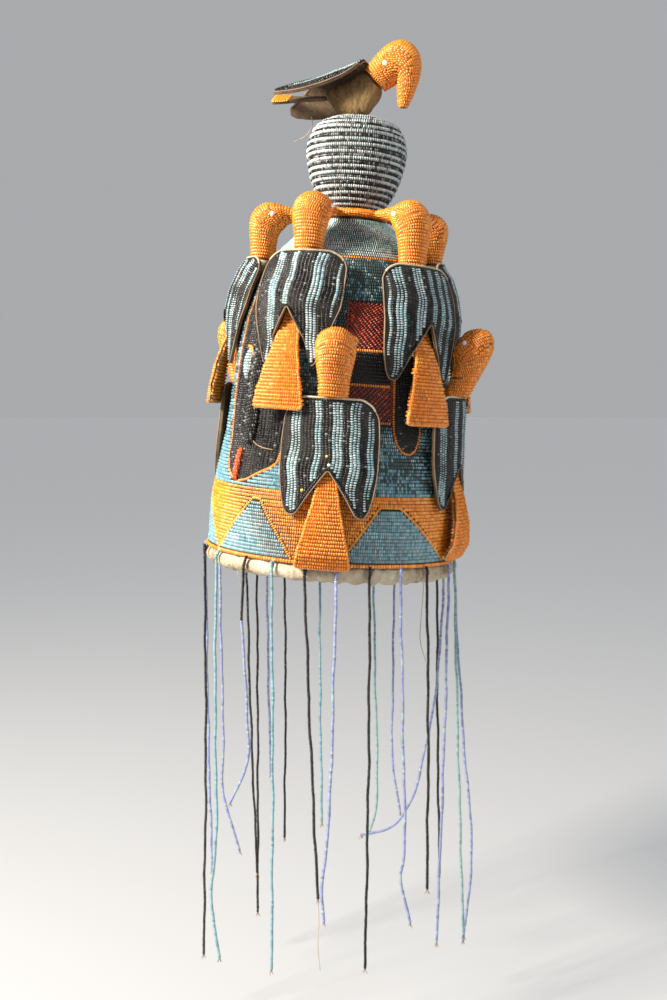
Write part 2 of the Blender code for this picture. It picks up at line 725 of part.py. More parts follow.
def smooth_route(points, count):
    """Points on one smooth curve through the given ones, spaced alike from the third one on."""
    ends = [points[0] * 2 - points[1]] + list(points) + [points[-1] * 2 - points[-2]]
    dense = []
    steps = 12
    for k in range(2, len(points) - 1):
        before, start, end, after = ends[k : k + 4]
        for step in range(steps):
            t = step / steps
            first = (end - before) * t
            second = (before * 2 - start * 5 + end * 4 - after) * t * t
            third = (start * 3 - before - end * 3 + after) * t**3
            dense.append(start + (first + second + third) / 2)
    dense.append(points[-1])
    lengths = [0.0]
    for a, b in zip(dense, dense[1:]):
        lengths.append(lengths[-1] + (b - a).length)
    route = list(points[:2])
    hanging = count - len(route)
    for k in range(hanging):
        want = lengths[-1] * k / (hanging - 1)
        i = next((n for n in range(1, len(dense)) if lengths[n] >= want), len(dense) - 1)
        span = lengths[i] - lengths[i - 1]
        route.append(dense[i - 1].lerp(dense[i], (want - lengths[i - 1]) / span))
    return route


def string_tube(name, angle, hang):
    """A closed tube along a string: out of the edging, over the roll, and then plumb."""
    edging_middle = RIM_RADIUS + 2 * GAP + EDGING_THICKNESS / 2
    over_roll = ROLL_OUTER + GAP + STRING_RADIUS
    points = [
        ring_point(edging_middle, angle, EDGE_Z + EDGING_BELOW),
        ring_point(over_roll, angle, ROLL_HALF_HEIGHT / 4),
        ring_point(over_roll, angle, -ROLL_HALF_HEIGHT),
    ]
    foot = points[-1]
    for drop, sway in hang:
        points.append(Vector((foot.x, foot.y, EDGE_Z - drop)) + SWAY * sway)
    route = smooth_route(points, STRING_POINTS)
    curve = bpy.data.curves.new(name, "CURVE")
    curve.dimensions = "3D"
    curve.bevel_depth = STRING_RADIUS
    curve.bevel_resolution = 2
    curve.use_fill_caps = True
    spline = curve.splines.new("POLY")
    spline.points.add(len(route) - 1)
    for place, point in zip(spline.points, route):
        place.co = (*point, 1.0)
    line = bpy.data.objects.new(name, curve)
    bpy.context.scene.collection.objects.link(line)
    mesh = bpy.data.meshes.new_from_object(line.evaluated_get(bpy.context.evaluated_depsgraph_get()))
    bpy.data.objects.remove(line)
    work = bmesh.new()
    work.from_mesh(mesh)
    bmesh.ops.remove_doubles(work, verts=work.verts, dist=GAP / 10)
    bmesh.ops.recalc_face_normals(work, faces=work.faces)
    work.to_mesh(mesh)
    work.free()
    tube = bpy.data.objects.new(name, mesh)
    bpy.context.scene.collection.objects.link(tube)
    tube.hide_render = True
    tube.display_type = "WIRE"
    return tube


def edging_mesh(name, start, end):
    """An arc of the beaded edging, from one angle to another in degrees."""
    inner = RIM_RADIUS + 2 * GAP
    outer = inner + EDGING_THICKNESS
    low = EDGE_Z - EDGING_BELOW
    high = EDGE_Z + EDGING_ABOVE
    steps = round((end - start) / EDGING_STEP)
    sections = []
    for k in range(steps + 1):
        angle = start + (end - start) * k / steps
        corners = ((inner, low), (outer, low), (outer, high), (inner, high))
        sections.append([ring_point(radius, angle, z) for radius, z in corners])
    return lofted(name, sections)


def make_veil():
    groups = len(STRING_ROUTES)
    half_gap = GAP / RIM_RADIUS * 90 / pi
    for k, group in enumerate(STRING_ROUTES):
        before = STRING_ROUTES[k - 1][-1][0] - (360 if k == 0 else 0)
        after = STRING_ROUTES[(k + 1) % groups][0][0] + (360 if k == groups - 1 else 0)
        start = (before + group[0][0]) / 2 + half_gap
        end = (group[-1][0] + after) / 2 - half_gap
        name = f"veil_strings_{k + 1}"
        veil = piece(name, edging_mesh(name, start, end), BEADS_LAVENDER)
        for n, (angle, hang) in enumerate(group):
            tube = string_tube(f"{name}_tube_{n + 1}", angle, hang)
            join = veil.modifiers.new(f"string_{n + 1}", "BOOLEAN")
            join.operation = "UNION"
            join.solver = "EXACT"
            join.object = tube


def main():
    crown = empty("crown_axis")
    crown.rotation_mode = "QUATERNION"
    crown.rotation_quaternion = LEAN.to_quaternion()
    make_cone(crown)
    make_roll(crown)
    make_knob(crown)
    make_collar(crown)
    make_face(crown)
    make_ring_birds(crown)
    make_top_bird(crown)
    make_veil()


main()
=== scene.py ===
"""Looks of the beaded crown: seed beads in rows, cloth, thread and bead strings on the CAD part.

Metres. The crown's own axes have z = 0 at the middle of the rim roll. They lean a little in the
row frame.
"""

import random
from math import atan2, cos, degrees, hypot, pi, radians, sin

import bmesh
import bpy
import numpy as np
from mathutils import Matrix, Vector


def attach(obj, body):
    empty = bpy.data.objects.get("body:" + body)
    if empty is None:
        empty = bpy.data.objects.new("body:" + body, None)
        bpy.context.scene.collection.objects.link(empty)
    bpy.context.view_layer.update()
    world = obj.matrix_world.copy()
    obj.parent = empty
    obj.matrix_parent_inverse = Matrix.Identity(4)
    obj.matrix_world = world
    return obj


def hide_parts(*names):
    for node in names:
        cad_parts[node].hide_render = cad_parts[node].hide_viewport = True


# Sizes shared with the CAD part, and how near its doubled points lie
RIM_RADIUS = 0.115
CONE_HEIGHT = 0.312
CONE_WALL = 0.003
EDGE_Z = 0.0081
KNOB_HEIGHT = 0.097
ROLL_RADIUS = 0.110
ROLL_HALF_HEIGHT = 0.0078
ROLL_OUTER = 0.1175
GAP = 0.0003
DOUBLES = 0.00002
STRING_RADIUS = 0.0016
HEAD_RADIUS = 0.0178
EDGING_RADIUS = 0.1174
EDGING_MIDDLE = 0.1165
LEAN_DEGREES = 3.8
LEAN_TOWARDS = 142.5
TOP_BIRD_TOWARDS = 127.5
TOP_BIRD_FOOT = EDGE_Z + CONE_HEIGHT + GAP + KNOB_HEIGHT

# Where the roll is rucked and how far to either side, in degrees, how deep in shares of the roll's
# own thickness, and how far a string's pinch reaches
RUCK_TOWARDS = 70.0
RUCK_REACH = 26.0
RUCK_DEPTH = 0.15
PINCH_REACH = 1.4

# Seed beads: across a row, along a row, and how far they stand out
ROW_PITCH = 0.00305
BEAD_PITCH = 0.0021
BEAD_RISE = 0.0015
KNOB_ROW_PITCH = 0.00315
KNOB_TILT = 0.014
# How deep a bead sits in the cloth, and each second row's shift in beads
BEAD_SINK = 0.0003
ROW_OFFSET = 0.35
# How finely a line is drawn on the cone, the chains that edge the panels, how clear of them the
# rows stay, and the double rows of the brows
MARK_RADIUS = 0.11
MARK_STEP = 0.003
CHAIN_WIDE = 0.0027
CHAIN_RISE = 0.0018
CHAIN_CLEAR = 0.0016
BROW_WIDE = 0.0026
BROW_RISE = 0.0032
# How far a level row wanders, and the upright rows of the panels
ROW_SWING = 0.00011
PANEL_STEP = 0.01
PANEL_RISE = 0.0017
# The nose's rows, across its ridge and on its tip, and the knob's light and dark ones
RUNG_WIDE = 0.0026
RUNG_RISE = 0.0021
TIP_RISE = 0.0019
LIGHT_RISE = 0.0019
DARK_RISE = 0.0013
COLLAR_ROWS = 78
# The birds' eyes: the bead and the gap in the rows round it. How near a head's rings come to one
# another, and how far a ring's middle may lie from the neck's line
EYE_BEAD = (0.0048, 0.0048, 0.0028)
EYE_CLEAR = 0.0028
HEAD_CLEAR = 0.7 * ROW_PITCH
NECK_REACH = 0.014
# A panel's rows stay this clear of its edge, its edging row sits this far inside it, and a face
# whose normal has this share of the outward way is on its outer side
PANEL_CLEAR = 0.0030
EDGE_INSET = 0.0015
FACING = 0.35
# Threads and hems: the wings' binding, their shoulders' hem, the tails' hem, a string's core
BINDING_RADIUS = 0.0006
SHOULDER_RADIUS = 0.0010
HEM_RADIUS = 0.0009
CORE_RADIUS = 0.0003
FREE_THREAD_RADIUS = 0.0004
# The strings, how far they wander, their edging, and the knots at their ends
STRING_BEAD_RADIUS = 0.00158
STRING_BEAD_PITCH = 0.00205
STRING_WANDER = 0.00035
EDGING_PITCH = 0.0027
EDGING_BEAD = (0.0034, 0.0017)
KNOT_ENDS = 4
KNOT_BEAD = (0.0028, 0.0022, 0.0020)
FRAY_THICKNESS = 0.0006
# How far the hems and the knob bird's fringe reach, how deep its cloth is pleated, the part of the
# nose that has upright rows, and the pitch of the eyes' rows
SHOULDER_HEM = 0.009
TAIL_HEM = 0.012
TOP_TAIL_FRINGE = 0.016
TAIL_RISE = 0.0021
PLEAT_DEPTH = 0.00045
NOSE_TIP = 0.010
EYE_ROW_PITCH = 0.0026

CONE_OUTLINE = (
    (0.000, 1.000), (0.130, 1.000), (0.220, 0.970), (0.340, 0.915), (0.460, 0.890),
    (0.580, 0.860), (0.680, 0.825), (0.770, 0.760), (0.840, 0.680), (0.900, 0.560),
    (0.950, 0.420), (0.985, 0.300), (1.000, 0.255),
)

# Bead colours: name, colour in linear light
BEAD_COLOURS = {
    "orange": (0.83, 0.25, 0.018),
    "amber": (0.88, 0.36, 0.05),
    "pale": (0.46, 0.56, 0.55),
    "ice": (0.31, 0.42, 0.43),
    "sky": (0.215, 0.385, 0.43),
    "turquoise": (0.13, 0.30, 0.36),
    # The dark teal is darkened as painted shade, for the band under the upper birds' wings
    "teal": (0.040, 0.083, 0.080),
    "black": (0.004, 0.0035, 0.0035),
    # Grey and light grey beads among black ones also stand for painted glints on the black glass
    "grey": (0.028, 0.025, 0.023),
    "ash": (0.17, 0.18, 0.175),
    "red": (0.62, 0.065, 0.022),
    # The dark red is the red beads with painted shade, where the birds shade the banded panels
    "wine": (0.23, 0.022, 0.007),
    "lavender": (0.25, 0.28, 0.50),
    "mint": (0.24, 0.40, 0.38),
    "ivory": (0.47, 0.51, 0.50),
    "white": (0.80, 0.77, 0.72),
    "yellow": (0.75, 0.60, 0.05),
    "brown": (0.11, 0.055, 0.028),
}
TINTS = (0.72, 0.92, 1.0, 1.12)
TINT_SHARES = (1, 3, 4, 2)
# Sine waves a metre for a weave's pitch, and the fold that a crease's strength is measured in
WAVES_A_PITCH = 0.31
CREASE_UNIT = 0.0006
COLOUR_SLOTS = {name: k * len(TINTS) for k, name in enumerate(BEAD_COLOURS)}

# Ring birds as in the CAD part: name, ring, angle from the front, how far the shoulders sit below
# the ring's, how much the neck is longer for it
RING_BIRDS = (
    ("bird_upper_1", "upper", -46.0, 0.0, 0.0),
    ("bird_upper_2", "upper", 26.0, 0.0, 0.0),
    ("bird_upper_3", "upper", 91.0, 0.007, 0.006),
    ("bird_upper_4", "upper", 158.0, -0.006, -0.006),
    ("bird_upper_5", "upper", -117.0, 0.0, 0.0),
    ("bird_lower_1", "lower", -69.0, -0.005, 0.006),
    ("bird_lower_2", "lower", 49.0, 0.003, 0.002),
    ("bird_lower_3", "lower", 119.5, -0.005, 0.005),
    ("bird_lower_4", "lower", -155.0, 0.0, 0.0),
)
# Shoulder height, head height and head lean of each ring
RING_SIZES = {
    "upper": (0.867 * CONE_HEIGHT, 0.0565, 0.001),
    "lower": (0.468 * CONE_HEIGHT, 0.060, 0.0235),
}
LOWER_BEAK_TIP = (0.018, 0.001, 0.0505)
COLLAR_OUTER = 0.0237
COLLAR_RISE = CONE_HEIGHT + GAP + 0.0035

# Head sections as in the CAD part: outer point (out, up), inner point (out, up)
HEAD_ROWS = (
    ((0.66, 0.00), (-0.65, 0.00)), ((0.63, 0.22), (-0.62, 0.20)), ((0.78, 0.46), (-0.70, 0.40)),
    ((0.78, 0.80), (-0.81, 0.47)), ((0.06, 0.99), (-0.95, 0.52)), ((-0.67, 0.95), (-1.10, 0.60)),
)
# Sections of the beak: share of the way to its tip, half height
BEAK_ROWS = ((0.22, 0.36), (0.60, 0.22), (0.97, 0.10))
# The knob's bird in shares of its length: upper point (forward, up), lower point (forward, up)
TOP_BIRD_LENGTH = 0.141
TOP_EYE = (0.0170, -0.0239, 0.0490)
TOP_HEAD_ROWS = (
    ((0.018, 0.326), (0.166, 0.186)), ((0.080, 0.405), (0.212, 0.224)), ((0.138, 0.478), (0.238, 0.240)),
    ((0.255, 0.548), (0.245, 0.252)), ((0.362, 0.490), (0.249, 0.258)), ((0.402, 0.385), (0.251, 0.250)),
    ((0.388, 0.268), (0.255, 0.200)), ((0.352, 0.160), (0.262, 0.138)), ((0.318, 0.078), (0.276, 0.080)),
)

# Odd beads on one wing: from the bird's middle, height, colour
ODD_BEADS_ON = "bird_lower_2"
ODD_BEAD_SIZE = (0.0027, 0.0030, 0.0022)
ODD_BEADS = ((-0.002, 0.1022, "yellow"), (0.0, 0.0943, "white"), (-0.020, 0.0724, "yellow"))
# Light rows of the wings, counted from the bird's middle: negative to its left as seen from outside
STRIPES = {
    "upper": (-7, -6, -5, -1, 0, 6, 7, 8, 12),
    "lower": (-11, -10, -9, -4, -3, 1, 2, 3, 6, 7, 8, 11, 12),
    "top": (-11, -7, -6, -2, 1, 5, 6, 10),
    "bird_upper_1": (-7, -6, -5, -1, 0, 4, 5, 8, 9, 12),
    "bird_upper_3": (-12, -10, -9, -8, -4, -3, -2, 1, 2, 5, 6, 9, 10),
}

# The strings' routes, as in the CAD part, each with its bead colours: (share of the length it
# starts at, colour)
STRING_ROUTES = (
    (
        (-122.5, ((0.15, 0.0), (0.303, 0.002)), ((0, "sky"),)),
        (-104.2, ((0.16, 0.001), (0.3145, 0.0)), ((0, "black"),)),
        (-94.5, ((0.12, 0.001), (0.246, 0.004)), ((0, "lavender"),)),
    ),
    (
        (-88.5, ((0.19, 0.001), (0.385, 0.001)), ((0, "black"),)),
        (-82.0, ((0.17, 0.004), (0.3415, 0.011)), ((0, "black"),)),
        (
            -61.2,
            ((0.12, 0.002), (0.2, 0.004), (0.238, 0.002), (0.265, 0.008), (0.305, 0.02)),
            ((0, "lavender"),),
        ),
    ),
    (
        (-42.5, ((0.16, 0.002), (0.309, 0.006)), ((0, "lavender"),)),
        (-23.0, ((0.19, 0.001), (0.3715, -0.001)), ((0, "black"), (0.55, "grey"))),
        (-6.1, ((0.128, -0.001), (0.25, 0.0), (0.308, -0.0045), (0.36, 0.003)), ((0, "sky"),)),
    ),
    (
        (
            13.5,
            ((0.051, -0.001), (0.13, 0.003), (0.173, 0.004), (0.21, -0.0115)),
            ((0, "black"), (0.26, "lavender")),
        ),
        (27.9, ((0.17, 0.001), (0.3486, 0.0)), ((0, "sky"),)),
        (42.5, ((0.14, 0.0045), (0.284, 0.0112)), ((0, "black"), (0.49, "white"), (0.496, "black"))),
    ),
    (
        (55.4, ((0.165, -0.004), (0.226, -0.007), (0.27, -0.012), (0.303, -0.0105)), ((0, "lavender"),)),
        (69.5, ((0.17, -0.001), (0.345, -0.004)), ((0, "black"),)),
        (83.9, ((0.15, 0.002), (0.245, 0.0035), (0.273, 0.0), (0.311, 0.008)), ((0, "lavender"),)),
    ),
    (
        (99.0, ((0.15, 0.001), (0.29, 0.0)), ((0, "black"),)),
        (118.1, ((0.17, -0.004), (0.352, -0.011)), ((0, "lavender"),)),
        (130.5, ((0.18, 0.003), (0.356, 0.008)), ((0, "mint"),)),
    ),
    (
        (145.5, ((0.1, 0.004), (0.2027, 0.0105), (0.29, 0.017), (0.3756, 0.0086)), ((0, "lavender"),)),
        (
            161.5,
            ((0.134, -0.007), (0.231, -0.0255), (0.2646, -0.04), (0.28, -0.055), (0.286, -0.0815)),
            ((0, "lavender"),),
        ),
        (168.5, ((0.16, 0.0), (0.33, 0.002)), ((0, "black"),)),
    ),
    (
        (198.5, ((0.12, -0.001), (0.2275, -0.002), (0.285, 0.006)), ((0, "lavender"),)),
        (210.2, ((0.15, 0.002), (0.27, 0.004), (0.309, -0.0036)), ((0, "mint"),)),
    ),
)

# The colour that some of a string's beads have in place of its own, and their share. On black strings these
# grey beads stand for painted glints.
STRING_OTHERS = {"black": "grey", "grey": "black", "sky": "turquoise", "lavender": "ice", "mint": "sky"}
OTHERS_SHARE = 0.2

# Bare threads: where they leave the roll in degrees, then (drop, sway) below there
ROLL_THREADS = (
    ("bare_thread_left", -74.5, ((0.0, 0.0), (0.02, 0.001), (0.045, 0.0065), (0.07, 0.004), (0.095, 0.009))),
    ("bare_thread_right", 179.5, ((0.0, 0.0), (0.03, 0.0), (0.055, -0.002), (0.08, -0.003), (0.102, 0.003))),
)
STRING_END = STRING_ROUTES[3][2]
END_DROPS = ((0.0, 0.0), (0.02, 0.0008), (0.04, 0.0), (0.061, 0.0018))
# The thread from the knob bird's tail, in that bird's axes
TAIL_THREAD = (
    (0.028, 0.0557, 0.0087),
    (0.028, 0.0546, 0.0),
    (0.028, 0.0603, -0.0103),
    (0.028, 0.0722, -0.0166),
)

# Blue triangles round the foot of the cone: base from, base to, apex, half width of the apex, in
# degrees from the front
TRIANGLES = (
    (-52, -9, -30, 1.5), (-8, 35, 15.5, 2.0), (56, 113, 78, 5.0), (116, 162, 139, 2.0),
    (166, 208, 187, 2.5), (-150, -106, -128, 2.0), (-103, -56, -80, 3.0),
)
TRIANGLE_TOP = 0.0515
FOOT_START = 0.0030
FOOT_TOP = 0.0605
# Below LIGHT_BLUES_TO at angles under 45 degrees the blues are lighter sky, partly painted light; above
# DARK_BLUES_FROM they are mostly dark teal, partly painted shade under the upper birds
LIGHT_BLUES_TO = 0.1
DARK_BLUES_FROM = 0.185
DOME_FROM = 0.2715
CHART_RADIUS = 0.106
# The cone's beads are joined into three meshes, up to these heights and above
LOW_SET_TO = 0.085
MIDDLE_SET_TO = 0.19

# The black panel round the face and a smaller one beside it: (degrees from the front, height)
FACE_PANEL = (
    (1, 0.064), (-4, 0.067), (-8.5, 0.0735), (-11.5, 0.083), (-13, 0.096),
    (-15, 0.112), (-18, 0.14), (-19, 0.20), (-16, 0.250), (26, 0.250),
    (28, 0.20), (27, 0.14), (25.5, 0.095), (24, 0.084), (20.5, 0.0785),
    (15, 0.0740), (7.4, 0.0665),
)
SIDE_PANEL = (
    (79.5, 0.21), (79.5, 0.128), (80, 0.116), (82, 0.105), (85.5, 0.0985),
    (89, 0.0975), (92.5, 0.101), (95, 0.108), (96, 0.118), (96, 0.21),
)
# The banded panel beside it: height from, height to, colour. Its dark red is painted shade on red beads.
BANDS_FROM = 53.0
BANDS_TO = 78.0
BANDS = (
    (0.124, 0.155, "wine"), (0.155, 0.1582, "orange"),
    (0.1582, 0.185, "black"), (0.185, 0.1882, "orange"),
)
BANDS_TOP = 0.229
# How much a slanting red row falls from one side of the panel to the other
SLANT = 0.045

# The middle of the face, its eyes' angle from there, and the brow over an eye: degrees, height
FACE_TOWARDS = 5.0
EYE_ANGLE = 10.2
BROW = ((-1.5, 0.1850), (1.0, 0.1840), (3.6, 0.1790), (4.6, 0.1710), (4.6, 0.1620))
# A loose thread on the face: degrees from the front, height
LOOSE_THREAD = ((7.8, 0.1015), (10.0, 0.0985), (13.2, 0.0963), (17.0, 0.0950), (21.2, 0.0944))
LOOSE_THREAD_LIFT = 0.0018

# The crown leans towards SWAY, and what hangs sways that way too
SWAY = Vector((sin(radians(LEAN_TOWARDS)), -cos(radians(LEAN_TOWARDS)), 0))
LEAN = Matrix.Rotation(radians(LEAN_DEGREES), 4, Vector((0, 0, 1)).cross(SWAY))

# The camera: degrees from the front, distance, height, step aside, lens in pixels of a picture that
# is PICTURE_HEIGHT high, and shift
CAMERA_TOWARDS = 52.5
CAMERA_DISTANCE = 1.15
CAMERA_HEIGHT = 0.1541
CAMERA_ASIDE = 0.0033
LENS_PIXELS = 1210
PICTURE_HEIGHT = 1000
CAMERA_SHIFT = -0.105
SENSOR_WIDTH = 36
# Lights: name, degrees from the camera, height, distance, size, watts, colour
LIGHTS = (
    ("key_light", -56, 1.0, 1.45, 0.4, 80, (1.0, 0.93, 0.83)),
    ("fill_light", 62, 0.7, 1.6, 0.8, 7, (0.95, 0.97, 1.0)),
)
AIR = (0.90, 0.92, 0.95)
AIR_STRENGTH = 0.44
FLOOR_Z = -0.42
FLOOR_GREY = 0.36
FLOOR_GLOW = 0.64

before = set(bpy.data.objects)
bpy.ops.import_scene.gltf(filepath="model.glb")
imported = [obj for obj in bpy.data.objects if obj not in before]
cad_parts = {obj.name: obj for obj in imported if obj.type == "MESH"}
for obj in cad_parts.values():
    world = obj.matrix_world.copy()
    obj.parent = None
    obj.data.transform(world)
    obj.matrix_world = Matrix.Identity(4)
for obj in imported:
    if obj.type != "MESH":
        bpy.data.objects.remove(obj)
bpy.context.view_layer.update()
chance = random.Random(11)


# Materials


class Value:
    """A number or colour that a material's nodes work out."""

    def __init__(self, finish, socket):
        self.finish = finish
        self.socket = socket

    def _math(self, operation, first, second):
        return self.finish.add("ShaderNodeMath", {"operation": operation}, {0: first, 1: second})

    def __add__(self, other):
        return self._math("ADD", self, other)

    def __radd__(self, other):
        return self._math("ADD", other, self)

    def __sub__(self, other):
        return self._math("SUBTRACT", self, other)

    def __rsub__(self, other):
        return self._math("SUBTRACT", other, self)

    def __mul__(self, other):
        return self._math("MULTIPLY", self, other)

    def __rmul__(self, other):
        return self._math("MULTIPLY", other, self)


class Finish:
    """A Principled material and the nodes that feed it."""

    def __init__(self, name, **constants):
        self.material = bpy.data.materials.new(name)
        self.material.use_nodes = True
        self.tree = self.material.node_tree
        self.shader = self.tree.nodes["Principled BSDF"]
        for key, value in constants.items():
            self.set(self.shader, key.replace("_", " "), value)

    def set(self, node, key, value):
        socket = node.inputs[key]
        if isinstance(value, Value):
            self.tree.links.new(value.socket, socket)
        elif isinstance(value, tuple):
            socket.default_value = value if len(value) == len(socket.default_value) else (*value, 1.0)
        else:
            socket.default_value = value

    def add(self, kind, settings, inputs, output=0):
        node = self.tree.nodes.new(kind)
        for key, value in settings.items():
            setattr(node, key, value)
        for key, value in inputs.items():
            self.set(node, key, value)
        return Value(self, node.outputs[output])

    def place(self):
        return self.add("ShaderNodeTexCoord", {}, {}, "Object")

    def noise(self, scale, detail=3.0, stretch=(1.0, 1.0, 1.0)):
        vector = self.add("ShaderNodeMapping", {}, {"Vector": self.place(), "Scale": stretch})
        return self.add("ShaderNodeTexNoise", {}, {"Vector": vector, "Scale": scale, "Detail": detail}, "Fac")

    def weave(self, pitch):
        """Threads over and under one another, from 0 to about 1."""
        sides = []
        for turn in ((0.0, 0.0, radians(45)), (0.0, radians(90), radians(45))):
            vector = self.add("ShaderNodeMapping", {}, {"Vector": self.place(), "Rotation": turn})
            wave = {"Vector": vector, "Scale": WAVES_A_PITCH / pitch, "Distortion": 0.6, "Detail": 1.0}
            sides.append(self.add("ShaderNodeTexWave", {"wave_profile": "SIN"}, wave, "Fac"))
        return (sides[0] + sides[1]) * 0.5

    def ramp(self, fac, stops):
        value = self.add("ShaderNodeValToRGB", {}, {"Fac": fac}, "Color")
        band = value.socket.node.color_ramp
        while len(band.elements) < len(stops):
            band.elements.new(0.5)
        for element, (at, colour) in zip(band.elements, stops):
            element.position = at
            element.color = (*colour, 1.0)
        return value

    def bump(self, height, distance, strength=1.0):
        inputs = {"Height": height, "Distance": distance, "Strength": strength}
        self.set(self.shader, "Normal", self.add("ShaderNodeBump", {}, inputs, "Normal"))


def bead_materials():
    """Glass of each colour in a few tints, so that neighbouring beads differ a little."""
    made = []
    for name, colour in BEAD_COLOURS.items():
        dark = name in ("black", "grey")
        for k, tint in enumerate(TINTS):
            shade = tuple(min(1.0, part * tint) for part in colour)
            finish = Finish(
                f"{name}_beads_{k + 1}",
                Base_Color=shade,
                Roughness=(0.17 if dark else 0.2) + 0.05 * k,
                Specular_IOR_Level=0.45 if dark else 0.5,
                Coat_Weight=0.0 if dark else 0.2,
                Coat_Roughness=0.12,
            )
            made.append(finish.material)
    return made


def cloth_material(name, dark, mid, light, pitch=0.0007, fold=0.0012, stained=0.28):
    """Woven cloth in three tones, with creases as deep as its fold and stains up to a share."""
    finish = Finish(name, Roughness=0.9)
    stain = finish.noise(26.0, 4.0)
    fibre = finish.noise(420.0, 2.0)
    tone = stain * 0.75 + fibre * 0.25
    finish.set(finish.shader, "Base Color", finish.ramp(tone, ((stained, dark), (0.48, mid), (0.68, light))))
    finish.set(finish.shader, "Roughness", fibre * 0.2 + 0.75)
    creases = finish.noise(60.0, 4.0, (1.0, 1.0, 0.3)) * (fold / CREASE_UNIT)
    finish.bump(finish.weave(pitch) * 0.35 + creases, 0.0007)
    return finish.material


BEAD_MATERIALS = bead_materials()
CREAM = cloth_material(
    "cream_cloth", (0.16, 0.105, 0.055), (0.47, 0.38, 0.26), (0.64, 0.56, 0.43), fold=0.0036
)
STAINED = cloth_material(
    "stained_cloth", (0.15, 0.09, 0.045), (0.46, 0.37, 0.25), (0.64, 0.56, 0.43), fold=0.007, stained=0.38
)
TAN = cloth_material("tan_cloth", (0.16, 0.09, 0.045), (0.36, 0.24, 0.13), (0.56, 0.43, 0.27), fold=0.002)
BROWN = cloth_material(
    "brown_cloth", (0.03, 0.017, 0.008), (0.115, 0.07, 0.035), (0.26, 0.175, 0.10), fold=0.003
)
SACKING = cloth_material(
    "worn_cloth", (0.05, 0.024, 0.008), (0.18, 0.098, 0.034), (0.40, 0.25, 0.10), fold=0.007, stained=0.34
)
# Cloth under the beads, near black as painted shade in the gaps between them
SHADE_DARK_GROUND = cloth_material("ground_with_painted_shade", (0.004, 0.003, 0.002), (0.010, 0.007, 0.005), (0.022, 0.015, 0.010))
# Brown cloth under the orange foot's beads, the colour of its thread, darkened partly as painted shade in the
# gaps
EARTH = cloth_material("brown_ground", (0.02, 0.01, 0.004), (0.065, 0.028, 0.009), (0.12, 0.05, 0.014))
RUST = cloth_material("rust_ground", (0.20, 0.045, 0.006), (0.36, 0.095, 0.010), (0.48, 0.14, 0.015))
LINING = cloth_material("lining_cloth", (0.22, 0.17, 0.11), (0.42, 0.35, 0.25), (0.55, 0.48, 0.36))
THREAD = cloth_material(
    "twisted_thread", (0.12, 0.07, 0.04), (0.28, 0.185, 0.11), (0.42, 0.30, 0.19), pitch=0.0004
)


# Hand modelling helpers


def deselect():
    if bpy.context.object and bpy.context.object.mode != "OBJECT":
        bpy.ops.object.mode_set(mode="OBJECT")
    bpy.ops.object.select_all(action="DESELECT")


def activate(made):
    deselect()
    made.select_set(True)
    bpy.context.view_layer.objects.active = made


def settle(made):
    """Put a finished object's place into its mesh."""
    activate(made)
    bpy.ops.object.transform_apply(location=True, rotation=True, scale=True)


def apply_modifiers(made):
    activate(made)
    for modifier in list(made.modifiers):
        bpy.ops.object.modifier_apply(modifier=modifier.name)


def dome_template():
    """The outside of one seed bead sewn flat, one unit long, wide and high: an eight-sided foot drawn
    up to a short ridge across the row."""
    deselect()
    bpy.ops.mesh.primitive_circle_add(vertices=8, radius=0.54, fill_type="NGON", rotation=(0, 0, pi / 8))
    made = bpy.context.object
    settle(made)
    bpy.ops.object.mode_set(mode="EDIT")
    bpy.ops.mesh.select_all(action="SELECT")
    bpy.ops.mesh.extrude_region_move(TRANSFORM_OT_translate={"value": (0, 0, 1)})
    bpy.ops.transform.resize(value=(0.52, 0.52, 1))
    bpy.ops.object.mode_set(mode="OBJECT")
    work = bmesh.new()
    work.from_mesh(made.data)
    level = [face for face in work.faces if abs(face.normal.z) > 0.9]
    bmesh.ops.delete(work, geom=level, context="FACES_ONLY")
    for side in (-1, 1):
        end = [vertex for vertex in work.verts if vertex.co.z > 0.5 and vertex.co.y * side > 0]
        middle = sum((vertex.co for vertex in end), Vector()) / len(end)
        bmesh.ops.pointmerge(work, verts=end, merge_co=middle)
    bmesh.ops.triangulate(work, faces=work.faces)
    bmesh.ops.recalc_face_normals(work, faces=work.faces)
    if sum(face.normal.z for face in work.faces) < 0:
        bmesh.ops.reverse_faces(work, faces=work.faces)
    work.to_mesh(made.data)
    work.free()
    return take_template(made)


def round_template():
    """A whole seed bead threaded on a string, with its hole along x."""
    deselect()
    bpy.ops.mesh.primitive_uv_sphere_add(segments=6, ring_count=4, radius=0.5, rotation=(0, pi / 2, 0))
    made = bpy.context.object
    settle(made)
    bpy.ops.object.mode_set(mode="EDIT")
    bpy.ops.mesh.select_all(action="SELECT")
    bpy.ops.mesh.quads_convert_to_tris()
    bpy.ops.object.mode_set(mode="OBJECT")
    return take_template(made)


def take_template(made):
    """The points and triangles of a modelled bead, which is then put away."""
    points = np.array([vertex.co for vertex in made.data.vertices])
    faces = np.array([face.vertices for face in made.data.polygons])
    mesh = made.data
    bpy.data.objects.remove(made)
    bpy.data.meshes.remove(mesh)
    return points, faces


DOME = dome_template()
ROUND = round_template()


